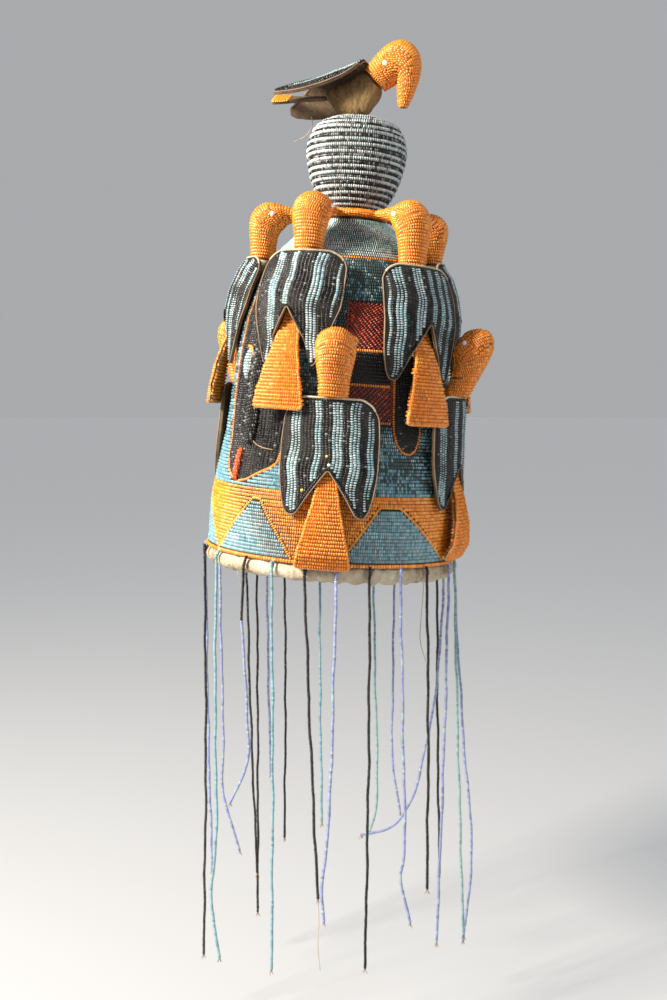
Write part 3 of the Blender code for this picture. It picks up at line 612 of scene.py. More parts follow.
class Beads:
    """Many beads that become one mesh: one list for each of their measures."""

    def __init__(self):
        self.centres = []
        self.along = []
        self.up = []
        self.sizes = []
        self.slots = []

    def add(self, centre, along, up, size, colour):
        self.centres.append(tuple(centre))
        self.along.append(tuple(along))
        self.up.append(tuple(up))
        self.sizes.append(size)
        self.slots.append(COLOUR_SLOTS[colour] + chance.choices((0, 1, 2, 3), TINT_SHARES)[0])

    def join(self, other):
        """Take another set's beads in."""
        for values, more in zip(vars(self).values(), vars(other).values()):
            values.extend(more)

    def part(self, keep):
        """The beads whose centres pass a test."""
        made = Beads()
        for n, centre in enumerate(self.centres):
            if keep(centre):
                for values, old in zip(vars(made).values(), vars(self).values()):
                    values.append(old[n])
        return made

    def moved(self, matrix):
        """These beads carried by a matrix."""
        made = Beads()
        turn = np.array(matrix.to_3x3())
        shift = np.array(matrix.translation)
        made.centres = np.array(self.centres) @ turn.T + shift
        made.along = np.array(self.along) @ turn.T
        made.up = np.array(self.up) @ turn.T
        made.sizes = self.sizes
        made.slots = self.slots
        return made

    def build(self, name, template, node=None, finish=None):
        """One mesh of all the beads, with only the finishes that it uses, or one finish for all."""
        points, faces = template
        centres = np.array(self.centres)
        along = np.array(self.along)
        up = np.array(self.up)
        up /= np.linalg.norm(up, axis=1)[:, None]
        along -= up * (along * up).sum(1)[:, None]
        along /= np.linalg.norm(along, axis=1)[:, None]
        across = np.cross(up, along)
        sizes = np.array(self.sizes)
        count = len(centres)
        local = points[None] * sizes[:, None]
        axes = np.stack([along, across, up], axis=1)
        corners = np.einsum("nvk,nkd->nvd", local, axes) + centres[:, None]
        indices = faces[None] + (np.arange(count) * len(points))[:, None, None]
        mesh = bpy.data.meshes.new(name)
        mesh.vertices.add(count * len(points))
        mesh.vertices.foreach_set("co", corners.astype(np.float32).ravel())
        triangles = count * len(faces)
        mesh.loops.add(triangles * 3)
        mesh.loops.foreach_set("vertex_index", indices.astype(np.int32).ravel())
        mesh.polygons.add(triangles)
        mesh.polygons.foreach_set("loop_start", np.arange(0, triangles * 3, 3, dtype=np.int32))
        used, own = np.unique(np.array(self.slots), return_inverse=True)
        if finish:
            used, own = [0], np.zeros(count)
        for slot in used:
            mesh.materials.append(finish or BEAD_MATERIALS[slot])
        mesh.polygons.foreach_set("material_index", np.repeat(own, len(faces)).astype(np.int32))
        mesh.polygons.foreach_set("use_smooth", np.ones(triangles, dtype=bool))
        mesh.update()
        made = bpy.data.objects.new(name, mesh)
        bpy.context.scene.collection.objects.link(made)
        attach(made, "root")
        return made


def copy_of(node, name, finish, levels=0, puff=0.0, bevel=0.0):
    """A smooth copy of a CAD node that stands for it. The node itself stays as it is."""
    deselect()
    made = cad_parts[node].copy()
    made.data = made.data.copy()
    made.name = name
    made.data.name = name
    for key in list(made.keys()):
        del made[key]
    made.parent = None
    bpy.context.scene.collection.objects.link(made)
    made.hide_render = False
    activate(made)
    bpy.ops.object.mode_set(mode="EDIT")
    bpy.ops.mesh.select_all(action="SELECT")
    bpy.ops.mesh.remove_doubles(threshold=DOUBLES)
    bpy.ops.mesh.tris_convert_to_quads(face_threshold=radians(60), shape_threshold=radians(60))
    bpy.ops.mesh.normals_make_consistent(inside=False)
    bpy.ops.object.mode_set(mode="OBJECT")
    if bevel:
        round_edge = made.modifiers.new("round_edge", "BEVEL")
        round_edge.width = bevel
        round_edge.segments = 2
        round_edge.limit_method = "ANGLE"
        round_edge.angle_limit = radians(50)
    if levels:
        smooth = made.modifiers.new("smooth", "SUBSURF")
        smooth.levels = levels
        smooth.render_levels = levels
    apply_modifiers(made)
    if puff:
        normals = [vertex.normal.copy() for vertex in made.data.vertices]
        for vertex, normal in zip(made.data.vertices, normals):
            vertex.co += normal * puff
    bpy.ops.object.shade_smooth()
    made.data.materials.clear()
    made.data.materials.append(finish)
    for polygon in made.data.polygons:
        polygon.material_index = 0
    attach(made, "root")
    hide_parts(node)
    return made


# Rows on surfaces


def mostly(usual, other, share):
    return usual if chance.random() < share else other


def orange_bead():
    return mostly("orange", "amber", 0.85)


def dark_bead(plain, usual):
    """A bead of a black row, where some are grey and a few of those are light grey: these lighter beads are
    partly painted glints on the black glass.
    """
    return mostly("black", mostly("grey", "ash", plain), usual)


def scatter(most):
    """A small random step."""
    return Vector((chance.uniform(-1, 1), chance.uniform(-1, 1), chance.uniform(-1, 1))) * most


def tilted(normal):
    """A bead's own direction, a little off the surface's."""
    return normal + scatter(0.1)


def bead_size(wide, rise, tallest=1.12):
    """One bead's size: a little less than its place along the row, and enough to touch the next row."""
    length = BEAD_PITCH * chance.uniform(0.88, 0.98)
    return length, wide * chance.uniform(1.0, 1.08), rise * chance.uniform(0.88, tallest)


class Surface:
    """A piece's skin in some local axes, ready to be cut into rows."""

    def __init__(self, made, inverse):
        work = bmesh.new()
        work.from_mesh(made.data)
        work.transform(inverse)
        bmesh.ops.triangulate(work, faces=work.faces)
        work.normal_update()
        self.points = np.array([vertex.co for vertex in work.verts])
        self.normals = np.array([vertex.normal for vertex in work.verts])
        self.triangles = np.array([[vertex.index for vertex in face.verts] for face in work.faces])
        work.free()

    def cut(self, origin, direction):
        """The chains of (place, normal) in which a plane crosses the skin."""
        origin = np.array(origin)
        direction = np.array(direction) / np.linalg.norm(direction)
        height = (self.points - origin) @ direction
        height = np.where(np.abs(height) < 1e-9, 1e-9, height)
        above = height > 0
        crossing = self.triangles[above[self.triangles].sum(1) % 3 != 0]
        links = {}
        for triangle in crossing:
            ends = []
            for a, b in ((0, 1), (1, 2), (2, 0)):
                i, j = int(triangle[a]), int(triangle[b])
                if above[i] != above[j]:
                    ends.append((min(i, j), max(i, j)))
            links.setdefault(ends[0], []).append(ends[1])
            links.setdefault(ends[1], []).append(ends[0])
        chains = []
        left = set(links)
        while left:
            key = min(left)
            chain = [key]
            left.discard(key)
            while True:
                following = [k for k in links[chain[-1]] if k in left]
                if not following:
                    break
                chain.append(following[0])
                left.discard(following[0])
            if len(chain) > 2:
                chains.append(chain + [chain[0]])
        rows = []
        for chain in chains:
            i = np.array([key[0] for key in chain])
            j = np.array([key[1] for key in chain])
            share = (height[i] / (height[i] - height[j]))[:, None]
            places = self.points[i] * (1 - share) + self.points[j] * share
            normals = self.normals[i] * (1 - share) + self.normals[j] * share
            rows.append((places, normals))
        return rows


def spaced(places, normals, pitch, start=0.0):
    """Places, directions and normals along a line, a pitch apart."""
    steps = np.linalg.norm(np.diff(places, axis=0), axis=1)
    reach = np.concatenate([[0.0], np.cumsum(steps)])
    if reach[-1] < pitch:
        return []
    count = max(1, round(reach[-1] / pitch))
    wanted = (np.arange(count) + 0.5 + start) / count * reach[-1]
    wanted = np.clip(wanted, 0, reach[-1] * 0.999999)
    i = np.searchsorted(reach, wanted, side="right") - 1
    i = np.clip(i, 0, len(steps) - 1)
    share = ((wanted - reach[i]) / np.maximum(steps[i], 1e-12))[:, None]
    at = places[i] * (1 - share) + places[i + 1] * share
    normal = normals[i] * (1 - share) + normals[i + 1] * share
    along = places[i + 1] - places[i]
    return list(zip(at, along, normal))


def lay_rows(beads, surface, planes, colour_at, keep=None, width=ROW_PITCH, rise=BEAD_RISE):
    """Sew a row of beads along each plane's cut through a surface."""
    for k, (origin, direction) in enumerate(planes):
        for places, normals in surface.cut(origin, direction):
            for at, along, normal in spaced(places, normals, BEAD_PITCH, ROW_OFFSET * (k % 2)):
                if keep and not keep(at, normal):
                    continue
                colour = colour_at(k, at)
                if colour is None:
                    continue
                size = bead_size(width, rise)
                jitter = scatter(0.0001)
                unit = Vector(normal).normalized()
                beads.add(Vector(at) + jitter - unit * BEAD_SINK, along, tilted(unit), size, colour)


def inside(shape, x, y):
    """Whether a point lies in a closed outline."""
    hit = False
    for (x1, y1), (x2, y2) in zip(shape, shape[1:] + shape[:1]):
        if (y1 > y) != (y2 > y) and x < x1 + (y - y1) / (y2 - y1) * (x2 - x1):
            hit = not hit
    return hit


def distance(shape, x, y):
    """The least distance from a point to an outline."""
    best = 1.0
    for (x1, y1), (x2, y2) in zip(shape, shape[1:]):
        dx, dy = x2 - x1, y2 - y1
        t = max(0.0, min(1.0, ((x - x1) * dx + (y - y1) * dy) / (dx * dx + dy * dy)))
        best = min(best, hypot(x - x1 - t * dx, y - y1 - t * dy))
    return best


def shared(rows, at, column=1):
    """A table's value at a place between its rows."""
    if at <= rows[0][0]:
        return rows[0][column]
    for low, high in zip(rows, rows[1:]):
        if at <= high[0]:
            part = (at - low[0]) / (high[0] - low[0])
            return low[column] + part * (high[column] - low[column])
    return rows[-1][column]


def cone_radius(height):
    """The cone's radius at a height above its edge."""
    return RIM_RADIUS * shared(CONE_OUTLINE, height / CONE_HEIGHT)


# The cone


def make_cone_cloth():
    """The cloth cone: a circle drawn up through its outline, with a wall and a lining inside."""
    deselect()
    bpy.ops.mesh.primitive_circle_add(
        vertices=96, radius=RIM_RADIUS - 0.0002, fill_type="NOTHING", location=(0, 0, EDGE_Z + 0.0002)
    )
    made = bpy.context.object
    made.name = "cone_cloth"
    settle(made)
    bpy.ops.object.mode_set(mode="EDIT")
    bpy.ops.mesh.select_all(action="SELECT")
    for (low, wide), (high, narrow) in zip(CONE_OUTLINE, CONE_OUTLINE[1:]):
        rise = (high - low) * CONE_HEIGHT
        bpy.ops.mesh.extrude_region_move(TRANSFORM_OT_translate={"value": (0, 0, rise)})
        size = narrow / wide
        bpy.ops.transform.resize(value=(size, size, 1.0))
    bpy.ops.mesh.edge_face_add()
    bpy.ops.mesh.select_all(action="SELECT")
    bpy.ops.mesh.normals_make_consistent(inside=False)
    bpy.ops.object.mode_set(mode="OBJECT")
    wall = made.modifiers.new("wall", "SOLIDIFY")
    wall.thickness = CONE_WALL - 0.0004
    wall.offset = -1.0
    wall.material_offset = 1
    wall.material_offset_rim = 1
    # The outer skin is the near-black ground, painted shade between the beads, with the brown ground at the
    # foot
    for finish in (SHADE_DARK_GROUND, LINING, EARTH):
        made.data.materials.append(finish)
    apply_modifiers(made)
    for face in made.data.polygons:
        if face.material_index == 0 and face.center.z < EDGE_Z + TRIANGLE_TOP:
            face.material_index = 2
    bpy.ops.object.shade_smooth_by_angle(angle=radians(40))
    made.data.transform(LEAN)
    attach(made, "root")
    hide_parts("beaded_cone")
    return made


def on_chart(angle, height):
    """A point of the cone's skin as lengths, so that panel outlines can be measured."""
    return radians(angle) * CHART_RADIUS, height


FACE_CHART = tuple(on_chart(*corner) for corner in FACE_PANEL)
SIDE_CHART = tuple(on_chart(*corner) for corner in SIDE_PANEL)
BACK_CHART = tuple(on_chart(-angle, height) for angle, height in reversed(SIDE_PANEL))


def panel_at(angle, height):
    """The upright panel that a place on the cone is in."""
    x, y = on_chart(angle, height)
    for name, shape in (("face", FACE_CHART), ("side", SIDE_CHART), ("back", BACK_CHART)):
        if inside(shape, x, y):
            return name
    return None


def in_bands(angle, height):
    """Whether a place is in the banded panel on either side of the face."""
    return BANDS_FROM <= abs(angle) <= BANDS_TO and BANDS[0][0] <= height <= BANDS_TOP


def outlines():
    """The chains of beads that edge the panels and triangles: colour, corners."""
    lines = [("orange", FACE_PANEL + FACE_PANEL[:1])]
    lines.append(("orange", SIDE_PANEL))
    lines.append(("orange", tuple((-angle, height) for angle, height in SIDE_PANEL)))
    for side in (-1, 1):
        low, high = BANDS[0][0], BANDS_TOP
        for angle in (BANDS_FROM, BANDS_TO):
            # Upright dark red chains: red beads with painted shade
            lines.append(("wine", ((side * angle, low), (side * angle, high))))
        lines.append(("orange", ((side * BANDS_FROM, low), (side * BANDS_TO, low))))
    for start, end, apex, half in TRIANGLES:
        top = ((apex - half, TRIANGLE_TOP), (apex + half, TRIANGLE_TOP))
        lines.append(("amber", ((start, FOOT_START), *top, (end, FOOT_START))))
    return lines


def foot_colour(angle, height, row):
    """Orange round the foot, and the blue of its triangles."""
    rise = (height - FOOT_START) / (TRIANGLE_TOP - FOOT_START)
    for start, end, apex, half in TRIANGLES:
        left = start + (apex - half - start) * rise
        right = end + (apex + half - end) * rise
        for turn in (0, 360, -360):
            if rise < 1 and left <= angle + turn <= right:
                return mostly("sky", mostly("turquoise", "ice", 0.6), 0.62 + 0.25 * sin(0.09 * angle + row))
    return mostly("orange", "amber", 0.6 + 0.3 * sin(0.2 * angle + 2.1 * row))


def cone_colour(angle, height, row, mix):
    """The colour of a bead in a level row, where each row has its own mix of blues. Its patches of ice and
    dark teal beads are partly painted highlights and painted shade, and the banded panel's dark red is
    painted shade.
    """
    if height < FOOT_TOP:
        return foot_colour(angle, height, row)
    if in_bands(angle, height):
        return next((colour for low, high, colour in BANDS if low <= height < high), "wine")
    if height > DOME_FROM:
        return mostly("pale", "mint", 0.55 + 0.4 * sin(0.05 * angle + 0.6 * row))
    if height > DOME_FROM - ROW_PITCH:
        return "orange"
    # Patches where ice beads stand partly for painted highlights and dark teal ones for painted shade from
    # the birds
    mix_and_light_patch = 0.28 * sin(0.11 * angle + 1.9 * sin(0.3 * row)) + 0.2 * sin(0.31 * angle + 0.8 * row)
    if height > DARK_BLUES_FROM:
        return mostly("teal", mostly("turquoise", "ice", 0.75), 0.75 + 0.6 * mix_and_light_patch)
    if height < LIGHT_BLUES_TO and angle < 45:
        return mostly("sky", "turquoise", 0.6 + mix_and_light_patch)
    if chance.random() < 0.35 + mix_and_light_patch:
        return mostly("ice", "turquoise", 0.5)
    return mostly("turquoise", "teal", mix + mix_and_light_patch)


def on_cone(angle, height):
    """A place on the cone's skin, and the way that it faces."""
    turn = radians(angle)
    out = Vector((sin(turn), -cos(turn), 0))
    slope = atan2(cone_radius(height - 0.003) - cone_radius(height + 0.003), 0.006)
    lump = 0.00025 * sin(3 * turn + 2 + 40 * height) + 0.0002 * sin(7 * turn + 60 * height)
    place = out * (cone_radius(height) + lump) + Vector((0, 0, EDGE_Z + height))
    return place, out * cos(slope) + Vector((0, 0, sin(slope)))


def sew_line(sets, corners, colour_at, keep=None, wide=ROW_PITCH, rise=BEAD_RISE):
    """A row of beads along a line that is drawn on the cone as (degrees from the front, height)."""
    marks = []
    for (a, low), (b, high) in zip(corners, corners[1:]):
        steps = max(1, round(hypot(radians(b - a) * MARK_RADIUS, high - low) / MARK_STEP))
        marks.extend((a + (b - a) * n / steps, low + (high - low) * n / steps) for n in range(steps))
    marks.append(corners[-1])
    found = [on_cone(*mark) for mark in marks]
    places = np.array([place for place, normal in found])
    normals = np.array([normal for place, normal in found])
    for at, along, normal in spaced(places, normals, BEAD_PITCH, chance.uniform(0, 0.5)):
        angle = degrees(atan2(at[0], -at[1]))
        height = at[2] - EDGE_Z
        if keep and not keep(angle, height):
            continue
        size = bead_size(wide, rise, 1.1)
        unit = Vector(normal).normalized()
        name = "low" if height < LOW_SET_TO else ("middle" if height < MIDDLE_SET_TO else "top")
        sets[name].add(Vector(at) - unit * BEAD_SINK, along, tilted(unit), size, colour_at(angle, height))


def level_heights():
    """The heights of the level rows, a pitch apart along the cone's own outline."""
    outline = [(CONE_HEIGHT * rise, RIM_RADIUS * share) for rise, share in CONE_OUTLINE]
    reach = [0.0]
    for (z1, r1), (z2, r2) in zip(outline, outline[1:]):
        reach.append(reach[-1] + hypot(z2 - z1, r2 - r1))
    count = int((reach[-1] - FOOT_START - 0.004) / ROW_PITCH)
    rises = [z for z, radius in outline]
    return [float(np.interp(FOOT_START + (row + 0.5) * ROW_PITCH, reach, rises)) for row in range(count)]


def make_cone_beads():
    """Level rows all over the cone, upright rows in the panels, and the chains that edge them."""
    sets = {"low": Beads(), "middle": Beads(), "top": Beads()}
    charts = []
    for colour, corners in outlines():
        charts.append(tuple(on_chart(*corner) for corner in corners))
        sew_line(sets, corners, lambda angle, height: colour, wide=CHAIN_WIDE, rise=CHAIN_RISE)

    for side in (-1, 1):
        middle = FACE_TOWARDS + side * EYE_ANGLE
        brow = tuple((middle - side * over, height) for over, height in BROW)
        for row in range(2):
            line = tuple((angle + side * 1.6 * row, height + 0.0008 * row) for angle, height in brow)
            sew_line(sets, line, lambda angle, height: "orange", wide=BROW_WIDE, rise=BROW_RISE)

    def clear(angle, height):
        """Whether a place is clear of every chain."""
        x, y = on_chart(angle, height)
        round_cone = 2 * pi * CHART_RADIUS
        ways = ((chart, turn) for chart in charts for turn in (0, round_cone, -round_cone))
        return all(distance(chart, x + turn, y) >= CHAIN_CLEAR for chart, turn in ways)

    def level(angle, height):
        if in_bands(angle, height) and not BANDS[0][1] < height < BANDS[-1][1]:
            return False
        return panel_at(angle, height) is None and clear(angle, height)

    for row, height in enumerate(level_heights()):
        swing = [chance.uniform(-ROW_SWING, ROW_SWING) for k in range(4)]
        mix = chance.uniform(0.35, 0.75)
        corners = []
        for angle in range(-180, 181, 5):
            sag = sum(wide * sin((n + 1) * radians(angle) + n) for n, wide in enumerate(swing))
            corners.append((angle, height + sag))
        sew_line(sets, corners, lambda angle, height: cone_colour(angle, height, row, mix), level)

    def black(angle, height):
        return dark_bead(0.92, 0.62)

    for name, shape in (("face", FACE_PANEL), ("side", SIDE_PANEL), ("back", SIDE_PANEL)):
        side = -1 if name == "back" else 1
        angles, heights = zip(*shape)
        low = min(heights)
        step = degrees(ROW_PITCH / CHART_RADIUS)
        marks = int((max(heights) - low) / PANEL_STEP) + 1

        def within(angle, height):
            return panel_at(angle, height) == name and clear(angle, height)

        for column in range(int((max(angles) - min(angles)) / step) + 1):
            angle = side * (min(angles) + (column + 0.5) * step)
            bend = 0.9 * sin(column * 1.3)
            rises = [low + n * PANEL_STEP for n in range(marks)]
            corners = tuple((angle + bend * sin(60 * rise), rise) for rise in rises)
            sew_line(sets, corners, black, within, rise=PANEL_RISE)

    # Slanting rows, mostly dark red as painted shade on the red beads
    def red(angle, height):
        return mostly("wine", "red", 0.8)

    for low, high, ways in ((BANDS[-1][1], BANDS_TOP, 1), (BANDS[0][0], BANDS[0][1], -1)):

        def between(angle, height):
            return low < height < high and clear(angle, height)

        for side in (-1, 1):
            start = low - SLANT
            while start < high + SLANT:
                left, right = start + ways * SLANT / 2, start - ways * SLANT / 2
                sew_line(sets, ((side * BANDS_FROM, left), (side * BANDS_TO, right)), red, between)
                start += ROW_PITCH * 1.5
    for name, beads in sets.items():
        beads.moved(LEAN).build(f"cone_beads_{name}", DOME, "beaded_cone")


# The face, roll, collar and knob


def level_planes(surface, start, pitch=ROW_PITCH, past=0.0, direction=(0, 0, 1)):
    """Planes up a piece, a pitch apart, from a start above its lowest point."""
    low, high = surface.points[:, 2].min(), surface.points[:, 2].max()
    return [((0, 0, level), direction) for level in np.arange(low + start, high + past, pitch)]


def make_face():
    """The nose, eyes and mouth: padded forms under rows of their own."""
    beads = Beads()
    inverse = LEAN.inverted()

    def outward(at, normal):
        return normal[1] < 0.6

    # The paddings under the face's rows are near-black ground, painted shade between their beads
    skin = copy_of("nose_ridge", "nose_padding", SHADE_DARK_GROUND, levels=1, puff=0.0004)
    surface = Surface(skin, inverse)
    tip = surface.points[:, 2].min() + NOSE_TIP

    # The nose's rungs: black beads with grey and a few light grey ones, which are partly painted highlights
    # along the ridge
    def rung(k, at):
        return mostly("grey", mostly("black", "ash", 0.8), 0.45)

    def on_ridge(at, normal):
        return outward(at, normal) and at[2] > tip

    def on_tip(at, normal):
        return outward(at, normal) and at[2] <= tip

    planes = level_planes(surface, -0.012, past=0.006, direction=(-0.35, 0.1, 1))
    lay_rows(beads, surface, planes, rung, on_ridge, width=RUNG_WIDE, rise=RUNG_RISE)
    left, right = surface.points[:, 0].min(), surface.points[:, 0].max()
    planes = [((across_tip, 0, 0), (1, 0, 0)) for across_tip in np.arange(left + 0.001, right, ROW_PITCH)]
    lay_rows(beads, surface, planes, rung, on_tip, rise=TIP_RISE)

    def iris(k, at):
        return mostly("ice", "pale", 0.65)

    def on_lid(at, normal):
        return normal[1] < 0.8

    for node in ("eye_left", "eye_right"):
        surface = Surface(copy_of(node, f"{node}_padding", SHADE_DARK_GROUND, levels=1, puff=0.0003), inverse)
        planes = level_planes(surface, 0.0008, EYE_ROW_PITCH)
        lay_rows(beads, surface, planes, iris, on_lid, width=EYE_ROW_PITCH)
    surface = Surface(copy_of("mouth", "mouth_padding", RUST, levels=1, puff=0.0003), inverse)
    lay_rows(beads, surface, level_planes(surface, 0.001), lambda k, at: "red", outward)
    beads.moved(LEAN).build("face_beads", DOME, "nose_ridge")


def make_loose_thread():
    """A thread that has come loose on the face and lies over its rows."""
    found = [on_cone(*mark) for mark in LOOSE_THREAD]
    route = smooth([place + normal * LOOSE_THREAD_LIFT for place, normal in found])
    tube("loose_thread", route, FREE_THREAD_RADIUS, TAN, False, LEAN)


def make_roll():
    """The padded roll, pinched where the strings are sewn over it and rucked on one side."""
    made = copy_of("rim_roll", "roll_padding", STAINED, levels=3, puff=0.0004)
    inverse = LEAN.inverted()
    pinches = [route[0] for group in STRING_ROUTES for route in group]
    for vertex in made.data.vertices:
        local = inverse @ vertex.co
        angle = degrees(atan2(local.x, -local.y))
        middle = Vector((local.x, local.y, 0)).normalized() * ROLL_RADIUS
        away = local - middle
        turn = radians(angle)
        fold = 0.05 * sin(31 * turn + 3 * sin(5 * turn))
        fold += 0.07 * sin(47 * turn + 1.3 + 330 * away.z + 2 * sin(7 * turn))
        ruck = max(0.0, 1 - abs(angle - RUCK_TOWARDS) / RUCK_REACH)
        fold += RUCK_DEPTH * ruck * sin(54 * turn - 560 * away.z + 1.5 * sin(9 * turn))
        near = min(abs((angle - pinch + 180) % 360 - 180) for pinch in pinches)
        squeeze = 1 + fold - 0.06 * max(0.0, 1 - near / PINCH_REACH)
        vertex.co = LEAN @ (middle + away * squeeze)


def make_collar():
    """The collar, with its rows of beads running over it."""
    surface = Surface(copy_of("top_collar", "collar_padding", RUST, levels=1, puff=0.0003), LEAN.inverted())
    beads = Beads()
    for k in range(COLLAR_ROWS):
        turn = 2 * pi * k / COLLAR_ROWS

        def near_side(at, normal):
            return at[0] * sin(turn) - at[1] * cos(turn) > 0

        planes = [((0, 0, 0), (cos(turn), sin(turn), 0))]
        lay_rows(beads, surface, planes, lambda n, at: "orange", near_side)
    beads.moved(LEAN).build("collar_beads", DOME, "top_collar")


def make_knob():
    """The knob, in light rows that stand out and dark rows between them."""
    # Its core is near-black ground, painted shade between the rows' beads
    surface = Surface(copy_of("knob", "knob_core", SHADE_DARK_GROUND, levels=1, puff=0.0002), LEAN.inverted())
    low, high = surface.points[:, 2].min(), surface.points[:, 2].max()
    fine = np.linspace(low + 0.001, high - 0.0002, 400)
    radii = []
    for level in fine:
        cuts = surface.cut((0, 0, level), (0, 0, 1))
        radii.append(max(np.linalg.norm(p[:, :2], axis=1).max() for p, n in cuts) if cuts else 0.0)
    reach = np.concatenate([[0.0], np.cumsum(np.hypot(np.diff(fine), np.diff(radii)))])
    count = int(reach[-1] / KNOB_ROW_PITCH)
    levels = np.interp((np.arange(count) + 0.5) * KNOB_ROW_PITCH, reach, fine)
    tilts = [(KNOB_TILT * sin(1.7 * k), KNOB_TILT * cos(2.3 * k), 1) for k in range(count)]
    planes = [((0, 0, level), tilt) for level, tilt in zip(levels, tilts)]

    def light(k, at):
        return mostly("ivory", mostly("pale", "ash", 0.85), 0.65)

    def dark(k, at):
        return dark_bead(0.45, 0.35)

    beads = Beads()
    lay_rows(beads, surface, planes[1::2], light, width=KNOB_ROW_PITCH * 1.1, rise=LIGHT_RISE)
    lay_rows(beads, surface, planes[::2], dark, width=KNOB_ROW_PITCH, rise=DARK_RISE)
    beads.moved(LEAN).build("knob_beads", DOME, "knob")


# Birds


def perch(angle, height=0.0):
    """The axes of a bird that faces out at an angle."""
    return LEAN @ Matrix.Rotation(radians(angle), 4, "Z") @ Matrix.Translation((0, 0, height))


def head_sections(kind, below, longer):
    """The outer and inner point of each section of a ring bird's neck, head and beak, and its eyes."""
    shoulder, head, lean = RING_SIZES[kind]
    shoulder -= below
    head += longer
    lean -= below / 2
    neck = cone_radius(shoulder) + 0.65 * HEAD_RADIUS + 0.0006
    base = Vector((0, -neck, EDGE_Z + shoulder + GAP))
    sections = []
    for row in HEAD_ROWS:
        ends = [base + Vector((0, -out * HEAD_RADIUS - lean * up, up * head)) for out, up in row]
        sections.append(tuple(ends))
    root = (sections[-1][0] + sections[-1][1]) / 2
    if kind == "upper":
        tip = Vector((0, neck - COLLAR_OUTER - 2 * GAP, COLLAR_RISE - shoulder))
    else:
        tip = Vector(LOWER_BEAK_TIP)
    along = (base + tip - root).normalized()
    side = (Vector((1, 0, 0)) - along * along.x).normalized()
    rise = side.cross(along)
    for share, thick in BEAK_ROWS:
        at = root.lerp(base + tip, share)
        sections.append((at + rise * thick * HEAD_RADIUS, at - rise * thick * HEAD_RADIUS))
    brow = (sections[4][0] + sections[4][1]) * 0.29 + (sections[5][0] + sections[5][1]) * 0.21
    eyes = [brow + Vector((side * 0.9 * HEAD_RADIUS, 0, 0)) for side in (-1, 1)]
    return sections, eyes


def across(sections, pitch):
    """Planes that cross a bent piece through its sections, a pitch apart on its outer side."""
    planes = []
    reach = 0.4 * pitch
    for (out_a, in_a), (out_b, in_b) in zip(sections, sections[1:]):
        steps = 40
        for step in range(steps):
            t = (step + 0.5) / steps
            reach += (out_b - out_a).length / steps
            if reach >= pitch:
                reach -= pitch
                outer = out_a.lerp(out_b, t)
                inner = in_a.lerp(in_b, t)
                planes.append(((outer + inner) / 2, (outer - inner).cross(Vector((1, 0, 0))).normalized()))
    return planes


def head_beads(surface, sections, eyes):
    """Rings of orange beads round the neck, head and beak, none of them on top of another."""
    beads = Beads()
    placed = np.zeros((0, 3))
    for k, (origin, direction) in enumerate(across(sections, ROW_PITCH)):
        for places, normals in surface.cut(origin, direction):
            if np.linalg.norm(places.mean(0) - np.array(origin)) > NECK_REACH:
                continue
            ring = []
            for at, along, normal in spaced(places, normals, BEAD_PITCH, ROW_OFFSET * (k % 2)):
                if len(placed) and np.linalg.norm(placed - at, axis=1).min() < HEAD_CLEAR:
                    continue
                if min((Vector(at) - eye).length for eye in eyes) < EYE_CLEAR:
                    continue
                ring.append(at)
                unit = Vector(normal).normalized()
                length, wide = BEAD_PITCH * chance.uniform(0.92, 1.02), ROW_PITCH * chance.uniform(1.02, 1.1)
                size = (length, wide, BEAD_RISE * 1.15)
                place = Vector(at) - unit * 0.0004
                beads.add(place, along, tilted(unit), size, orange_bead())
            if ring:
                placed = np.vstack([placed, ring])
    for eye in eyes:
        k = int(np.linalg.norm(surface.points - np.array(eye), axis=1).argmin())
        normal = Vector(surface.normals[k])
        place = Vector(surface.points[k]) - normal * 0.0002
        beads.add(place, normal.orthogonal(), normal, EYE_BEAD, "white")
    return beads


def stripe(node, kind, row):
    """Whether a row, counted from the wing's middle, is one of the light ones."""
    return row in STRIPES.get(node, STRIPES[kind])


def wing_beads(node, kind, surface, outward, border, turn):
    """Wavy rows along a wing panel's outer side, and one dark row round its edge."""
    beads = Beads()
    out = np.array(outward)
    half = surface.points[:, 0].max()
    count = int(2 * half / ROW_PITCH)
    first = -(count - 1) / 2 * ROW_PITCH

    def keep(at, normal):
        return normal @ out > FACING and np.linalg.norm(border - at, axis=1).min() > PANEL_CLEAR

    for k in range(count):
        x = first + k * ROW_PITCH

        def colour(n, at):
            if stripe(node, kind, k - count // 2):
                share = 0.85 + 0.2 * sin(x * 150 + turn + at[2] * 20)
                return mostly(mostly("ice", "pale", 0.8), "sky", share)
            return dark_bead(0.92, 0.6)

        made = Beads()
        lay_rows(made, surface, [((x, 0, 0), (1, 0, 0))], colour, keep)
        for n, centre in enumerate(made.centres):
            z = centre[1] if kind == "top" else centre[2]
            wave = 0.0009 * sin(z * 95 + turn + x * 40) + 0.0007 * sin(z * 190 + 2 * turn + x * 60)
            made.centres[n] = (centre[0] + wave, centre[1], centre[2])
        beads.join(made)
    beads.join(edge_beads(surface, border, out, EDGE_INSET, "black", "grey"))
    return beads


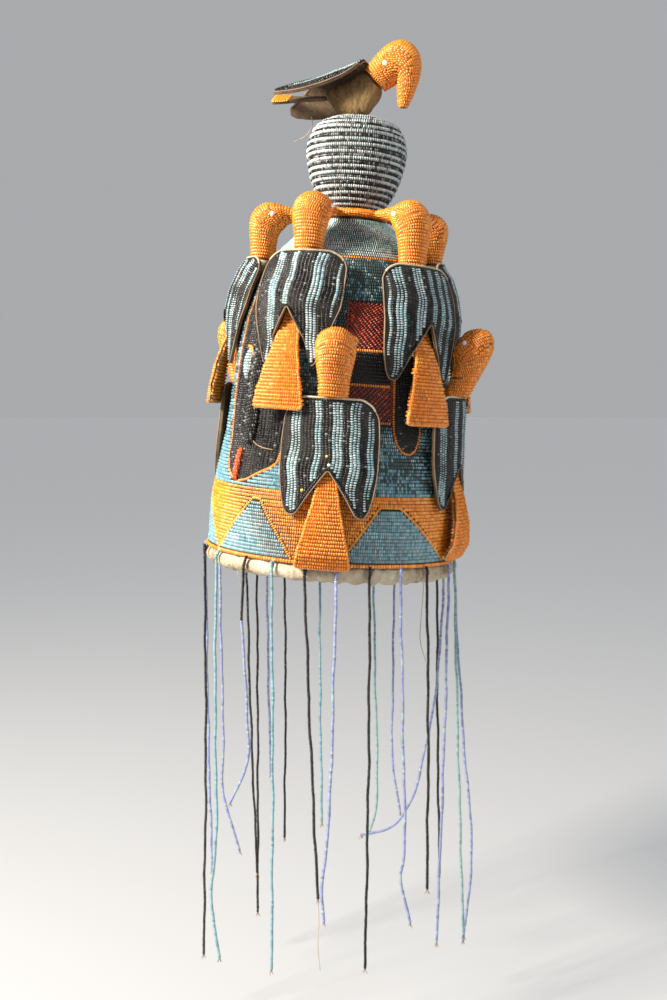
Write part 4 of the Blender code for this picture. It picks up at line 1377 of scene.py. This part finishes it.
def edge_beads(surface, border, out, inset, colour, other):
    """A row of beads that follows an outline a little inside it."""
    beads = Beads()
    middle = border.mean(0)
    steps = np.roll(border, -1, axis=0) - border
    turning = np.cross(border - middle, steps).sum(0) @ out
    inwards = np.cross(out, steps) * (1 if turning > 0 else -1)
    inwards /= np.maximum(np.linalg.norm(inwards, axis=1), 1e-9)[:, None]
    line = border + (inwards + np.roll(inwards, 1, axis=0)) / 2 * inset
    line = np.vstack([line, line[:1]])
    for at, along, normal in spaced(line, np.tile(out, (len(line), 1)), BEAD_PITCH):
        k = int((np.linalg.norm(surface.points - at, axis=1) + 0.01 * (surface.normals @ out < 0.3)).argmin())
        unit = Vector(surface.normals[k]).normalized()
        if unit.dot(Vector(out)) < 0.2:
            unit = Vector(out)
        size = (BEAD_PITCH * 1.02, ROW_PITCH * 0.95, BEAD_RISE)
        beads.add(Vector(at) - unit * 0.0001, along, tilted(unit), size, mostly(colour, other, 0.9))
    return beads


def border_of(node, inverse, outward):
    """The outline of a panel's outer side in local axes, as one closed chain of close places."""
    work = bmesh.new()
    work.from_mesh(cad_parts[node].data)
    work.transform(inverse)
    bmesh.ops.remove_doubles(work, verts=work.verts, dist=DOUBLES)
    work.normal_update()
    out = Vector(outward)
    links = {}
    for edge in work.edges:
        facing = [face.normal.dot(out) > 0.3 for face in edge.link_faces]
        if len(facing) == 2 and facing[0] != facing[1]:
            a, b = edge.verts
            links.setdefault(a, []).append(b)
            links.setdefault(b, []).append(a)
    start = min(links, key=lambda vertex: vertex.index)
    chain = [start]
    while True:
        following = [vertex for vertex in links[chain[-1]] if vertex not in chain]
        if not following:
            break
        chain.append(following[0])
    corners = [vertex.co.copy() for vertex in chain]
    work.free()
    dense = []
    for a, b in zip(corners, corners[1:] + corners[:1]):
        steps = max(1, round((b - a).length / 0.002))
        dense.extend(a.lerp(b, n / steps) for n in range(steps))
    for turn in range(3):
        before, after = dense[-1:] + dense[:-1], dense[1:] + dense[:1]
        dense = [(a + b * 2 + c) / 4 for a, b, c in zip(before, dense, after)]
    return np.array(dense)


def tube(name, route, radius, finish, closed=False, matrix=None):
    """A round thread along a route, made as a curve and turned into a mesh."""
    deselect()
    bpy.ops.curve.primitive_nurbs_path_add()
    line = bpy.context.object
    line.name = name
    curve = line.data
    curve.splines.clear()
    spline = curve.splines.new("POLY")
    spline.points.add(len(route) - 1)
    for place, point in zip(spline.points, route):
        place.co = (*point, 1.0)
    spline.use_cyclic_u = closed
    curve.bevel_depth = radius
    curve.bevel_resolution = 1
    curve.use_fill_caps = not closed
    curve.materials.append(finish)
    if matrix:
        curve.transform(matrix)
    activate(line)
    bpy.ops.object.convert(target="MESH")
    made = bpy.context.object
    settle(made)
    bpy.ops.object.shade_smooth()
    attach(made, "root")
    return made


def panel_cloth(node, part, matrix, outward, ground):
    """The cloth of a wing panel or tail: the given ground under its beads, on the wings near black as painted
    shade between them, and plain on its back and edges.
    """
    made = copy_of(f"{node}_{part}", f"{node}_{part}_cloth", BROWN, bevel=0.0007)
    made.data.materials.append(ground)
    out = (matrix.to_3x3() @ Vector(outward)).normalized()
    for face in made.data.polygons:
        if face.normal.dot(out) > FACING:
            face.material_index = 1
    return made


def pleat(made, inverse):
    """Press the pleats of its wrapped cloth into the knob bird's body, drawn together to its foot."""
    normals = [vertex.normal.copy() for vertex in made.data.vertices]
    for vertex, normal in zip(made.data.vertices, normals):
        at = inverse @ vertex.co
        fan = at.y / (0.55 + 18 * max(0.0, at.z))
        fold = sin(560 * fan + 1.7 * sin(150 * at.z)) + 0.5 * sin(910 * fan + 120 * at.z)
        vertex.co += normal * (PLEAT_DEPTH * fold)


def from_extreme(border, index):
    """A closed outline, started from one of its points."""
    return np.roll(border, -int(index), axis=0)


def raised_line(points, step):
    """A line of places moved by a step."""
    return [Vector(point) + Vector(step) for point in points]


def make_wings(node, kind, matrix, outward, turn):
    """The wing panel: its cloth, rows, binding and hem. Its beads are returned."""
    inverse = matrix.inverted()
    cloth = panel_cloth(node, "wings", matrix, outward, SHADE_DARK_GROUND)
    border = border_of(f"{node}_wings", inverse, outward)
    beads = wing_beads(node, kind, Surface(cloth, inverse), outward, border, turn)
    if node == ODD_BEADS_ON:
        for across_wing, height, colour in ODD_BEADS:
            centres = np.array(beads.centres)
            k = int(np.hypot(centres[:, 0] - across_wing, centres[:, 2] - height).argmin())
            beads.slots[k] = COLOUR_SLOTS[colour] + 2
            beads.sizes[k] = ODD_BEAD_SIZE
    lift = Vector(outward) * 0.0003
    tube(f"{node}_wings_binding", raised_line(border, lift), BINDING_RADIUS, THREAD, True, matrix)
    if kind != "top":
        ordered = from_extreme(border, border[:, 2].argmin())
        shoulder = ordered[ordered[:, 2] > border[:, 2].max() - SHOULDER_HEM]
        route = raised_line(shoulder, lift * 2)
        tube(f"{node}_shoulder_hem", route, SHOULDER_RADIUS, CREAM, False, matrix)
    return beads


def make_tail(node, kind, matrix, outward):
    """The tail panel: its cloth, rows and hem. Its beads are returned."""
    inverse = matrix.inverted()
    surface = Surface(panel_cloth(node, "tail", matrix, outward, BROWN if kind == "top" else RUST), inverse)
    border = border_of(f"{node}_tail", inverse, outward)
    out = np.array(outward)
    axis = 1 if kind == "top" else 2
    low, high = surface.points[:, axis].min(), surface.points[:, axis].max()
    rows = int((high - low) / ROW_PITCH)
    step = (high - low) / rows
    direction = tuple(int(n == axis) for n in range(3))
    planes = [(tuple((low + (k + 0.5) * step) * n for n in direction), direction) for k in range(rows)]

    def keep(at, normal):
        if kind == "top":
            return normal @ out > 0.3 and at[1] > high - TOP_TAIL_FRINGE
        return abs(normal @ out) > 0.3

    beads = Beads()
    lay_rows(beads, surface, planes, lambda k, at: orange_bead(), keep, rise=TAIL_RISE)
    rim = edge_beads(surface, border, out, 0.0, "orange", "amber")
    if kind == "top":
        rim = rim.part(lambda centre: centre[1] > high - TOP_TAIL_FRINGE)
    beads.join(rim)
    if kind != "top":
        ordered = from_extreme(border, border[:, 2].argmax())
        hem = raised_line(ordered[ordered[:, 2] < low + TAIL_HEM], (0, 0.0012, -0.0004))
        tube(f"{node}_tail_hem", hem, HEM_RADIUS, CREAM, False, matrix)
    return beads


def make_bird(node, kind, matrix, sections, eyes, turn):
    """Padding, cloth, thread and beads of one bird."""
    top = kind == "top"
    outward = (0, 0, 1) if top else (0, -1, 0)
    inverse = matrix.inverted()
    head = copy_of(f"{node}_head", f"{node}_head_padding", RUST, levels=2, puff=0.0009)
    wrapping, levels = (SACKING, 3) if top else (CREAM, 2)
    body = copy_of(f"{node}_body", f"{node}_body_cloth", wrapping, levels=levels, puff=0.0004)
    if top:
        pleat(body, inverse)
    beads = head_beads(Surface(head, inverse), sections, eyes)
    beads.join(make_wings(node, kind, matrix, outward, turn))
    beads.join(make_tail(node, kind, matrix, outward))
    beads.moved(matrix).build(f"{node}_beads", DOME, f"{node}_head")


def make_birds():
    for k, (node, kind, angle, below, longer) in enumerate(RING_BIRDS):
        sections, eyes = head_sections(kind, below, longer)
        make_bird(node, kind, perch(angle), sections, eyes, 1.7 * k)
    sections = []
    for upper, lower in TOP_HEAD_ROWS:
        ends = [Vector((0, -forward, up)) * TOP_BIRD_LENGTH for forward, up in (upper, lower)]
        sections.append(tuple(ends))
    eyes = [Vector((side * TOP_EYE[0], *TOP_EYE[1:])) for side in (-1, 1)]
    matrix = perch(TOP_BIRD_TOWARDS, TOP_BIRD_FOOT)
    make_bird("bird_top", "top", matrix, sections, eyes, 4.0)


# The veil


def ring_point(radius, angle, z):
    """A point of the leaning crown, at an angle from the front in degrees."""
    turn = radians(angle)
    return LEAN @ Vector((radius * sin(turn), -radius * cos(turn), z))


def string_route(angle, hang):
    """The strung line: out of the edging, over the roll, and down on a smooth curve."""
    over_roll = ROLL_OUTER + GAP + STRING_RADIUS
    points = [
        ring_point(EDGING_MIDDLE, angle, EDGE_Z + 0.001),
        ring_point(over_roll, angle, ROLL_HALF_HEIGHT / 4),
        ring_point(over_roll, angle, -ROLL_HALF_HEIGHT),
    ]
    foot = points[-1]
    for drop, sway in hang:
        points.append(Vector((foot.x, foot.y, EDGE_Z - drop)) + SWAY * sway)
    return smooth(points, 16)


def string_beads(beads, route, angle, colours):
    """Thread one string's beads along its route, with a slight wander."""
    flat = np.tile(np.array(ring_point(1.0, angle, 0)), (len(route), 1))
    places = spaced(route, flat, STRING_BEAD_PITCH)
    waves = [chance.uniform(0, 2 * pi) for wave in range(3)]
    for n, (at, along, normal) in enumerate(places):
        share = n / len(places)
        wander = sin(0.13 * n + waves[0]) + 0.7 * sin(0.29 * n + waves[1]) + 0.2 * sin(0.61 * n + waves[2])
        colour = [name for start, name in colours if start <= share][-1]
        if chance.random() < OTHERS_SHARE:
            colour = STRING_OTHERS.get(colour, colour)
        wide = 2 * STRING_BEAD_RADIUS * chance.uniform(0.9, 1.05)
        shift = Vector((chance.uniform(-1, 1), chance.uniform(-1, 1), 0)) * 0.00012
        shift += SWAY * (STRING_WANDER * wander * min(1.0, n / 20, (len(places) - n) / 20))
        beads.add(Vector(at) + shift, along, normal, (STRING_BEAD_PITCH * 1.25, wide, wide), colour)


def make_edging(node, start, end):
    """The arc of beaded edging that a group of strings is sewn into, from one angle to another."""
    edging = Beads()
    count = round(radians(end - start) * EDGING_RADIUS / EDGING_PITCH)
    for n in range(count):
        turn = radians(start + (end - start) * (n + 0.5) / count)
        out = Vector((sin(turn), -cos(turn), 0))
        place = out * (EDGING_RADIUS - 0.0011) + Vector((0, 0, EDGE_Z + 0.0008))
        size = (EDGING_PITCH * chance.uniform(0.96, 1.06), *EDGING_BEAD)
        edging.add(place, (cos(turn), sin(turn), 0), tilted(out), size, mostly("orange", "amber", 0.8))
    edging.moved(LEAN).build(f"{node}_edging", DOME, node)


def make_veil():
    """The bead strings in their groups, each with its threads, knots and arc of edging."""
    groups = len(STRING_ROUTES)
    for k, group in enumerate(STRING_ROUTES):
        node = f"veil_strings_{k + 1}"
        beads = Beads()
        threads = []
        for angle, hang, colours in group:
            route = np.array(string_route(angle, hang))
            string_beads(beads, route, angle, colours)
            threads.append([Vector(point) for point in route[::3]] + [Vector(route[-1])])
        made = beads.build(f"{node}_beads", ROUND, node)
        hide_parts(node)
        for n, route in enumerate(threads):
            tube(f"{node}_core_{n + 1}", route, CORE_RADIUS, THREAD)
        make_knots(node, [route[-1] for route in threads])
        before = STRING_ROUTES[k - 1][-1][0] - (360 if k == 0 else 0)
        after = STRING_ROUTES[(k + 1) % groups][0][0] + (360 if k == groups - 1 else 0)
        make_edging(node, (before + group[0][0]) / 2, (group[-1][0] + after) / 2)


def make_knots(node, ends):
    """The knot under the last bead of each string, with its frayed ends."""
    knots = Beads()
    for end in ends:
        knots.add(end, (0, 0, 1), (1, 0, 0), KNOT_BEAD, "brown")
        for k in range(KNOT_ENDS):
            turn = 2 * pi * (k + chance.uniform(0, 0.7)) / KNOT_ENDS
            way = Vector((0.55 * cos(turn), 0.55 * sin(turn), -1)).normalized()
            length = chance.uniform(0.003, 0.006)
            size = (length * 1.1, FRAY_THICKNESS, FRAY_THICKNESS)
            knots.add(end + way * length / 2, way, way.orthogonal(), size, "brown")
    knots.build(f"{node}_knots", ROUND, node, THREAD)


def hung(start, drops):
    """The points of what hangs from a place: drop, sway."""
    return [start + Vector((0, 0, -drop)) + SWAY * sway for drop, sway in drops]


def make_free_threads():
    """Bare threads that have lost their beads, and one from the tail of the bird on the knob."""
    for name, angle, drops in ROLL_THREADS:
        free_thread(name, hung(ring_point(ROLL_OUTER + 0.0009, angle, -ROLL_HALF_HEIGHT), drops))
    free_thread("bare_thread_end", hung(string_route(*STRING_END[:2])[-1], END_DROPS))
    matrix = perch(TOP_BIRD_TOWARDS, TOP_BIRD_FOOT)
    free_thread("tail_thread", [matrix @ Vector(point) for point in TAIL_THREAD])


def smooth(points, steps=8):
    """A smooth curve through the points."""
    ends = [points[0] * 2 - points[1]] + points + [points[-1] * 2 - points[-2]]
    dense = []
    for k in range(len(points) - 1):
        before, start, end, after = ends[k : k + 4]
        for step in range(steps):
            t = step / steps
            first = (end - before) * t
            second = (before * 2 - start * 5 + end * 4 - after) * t * t
            third = (start * 3 - before - end * 3 + after) * t**3
            dense.append(start + (first + second + third) / 2)
    dense.append(points[-1])
    return dense


def free_thread(name, points):
    """A bare thread through the points, as a cord."""
    route = smooth(points)
    length = sum((b - a).length for a, b in zip(route, route[1:]))
    made = tube(name, route, FREE_THREAD_RADIUS, CREAM)


# The set


def make_stage():
    """A wide pale floor."""
    deselect()
    bpy.ops.mesh.primitive_circle_add(vertices=96, radius=30, fill_type="NGON", location=(0, 0, FLOOR_Z))
    floor_sheet = bpy.context.object
    floor_sheet.name = "studio_floor"
    settle(floor_sheet)
    grey = (FLOOR_GREY, FLOOR_GREY, FLOOR_GREY)
    glow = FLOOR_GLOW * AIR_STRENGTH
    pale = Finish("studio_paper", Base_Color=grey, Roughness=0.95, Emission_Color=AIR, Emission_Strength=glow)
    floor_sheet.data.materials.append(pale.material)


def area_light(name, towards, height, away, size, power, colour):
    """A soft square light, turned to the crown's middle."""
    turn = radians(CAMERA_TOWARDS + towards)
    deselect()
    bpy.ops.object.light_add(type="AREA", location=(away * sin(turn), -away * cos(turn), height))
    light = bpy.context.object
    light.name = name
    light.data.size = size
    light.data.energy = power
    light.data.color = colour
    aim = Vector((0, 0, 0.1)) - light.location
    light.rotation_euler = aim.to_track_quat("-Z", "Y").to_euler()


def make_camera():
    """The camera at the photo's angle."""
    turn = radians(CAMERA_TOWARDS)
    away = Vector((sin(turn), -cos(turn), 0)) * CAMERA_DISTANCE
    side = Vector((cos(turn), sin(turn), 0)) * CAMERA_ASIDE
    deselect()
    place = away + side + Vector((0, 0, CAMERA_HEIGHT))
    bpy.ops.object.camera_add(location=place, rotation=(pi / 2, 0, turn))
    camera = bpy.context.object
    camera.data.sensor_width = SENSOR_WIDTH
    camera.data.lens = LENS_PIXELS / PICTURE_HEIGHT * SENSOR_WIDTH
    camera.data.sensor_fit = "AUTO"
    camera.data.shift_y = CAMERA_SHIFT
    bpy.context.scene.camera = camera


def make_light():
    """Even air, a key light from the left and a weak fill from the right."""
    bpy.context.scene.view_settings.view_transform = "Standard"
    world = bpy.data.worlds.new("studio_air")
    world.use_nodes = True
    shade = world.node_tree.nodes["Background"]
    shade.inputs["Color"].default_value = (*AIR, 1.0)
    shade.inputs["Strength"].default_value = AIR_STRENGTH
    bpy.context.scene.world = world
    for light in LIGHTS:
        area_light(*light)


make_cone_cloth()
make_cone_beads()
make_face()
make_loose_thread()
make_roll()
make_collar()
make_knob()
make_birds()
make_veil()
make_free_threads()
make_stage()
make_light()
make_camera()
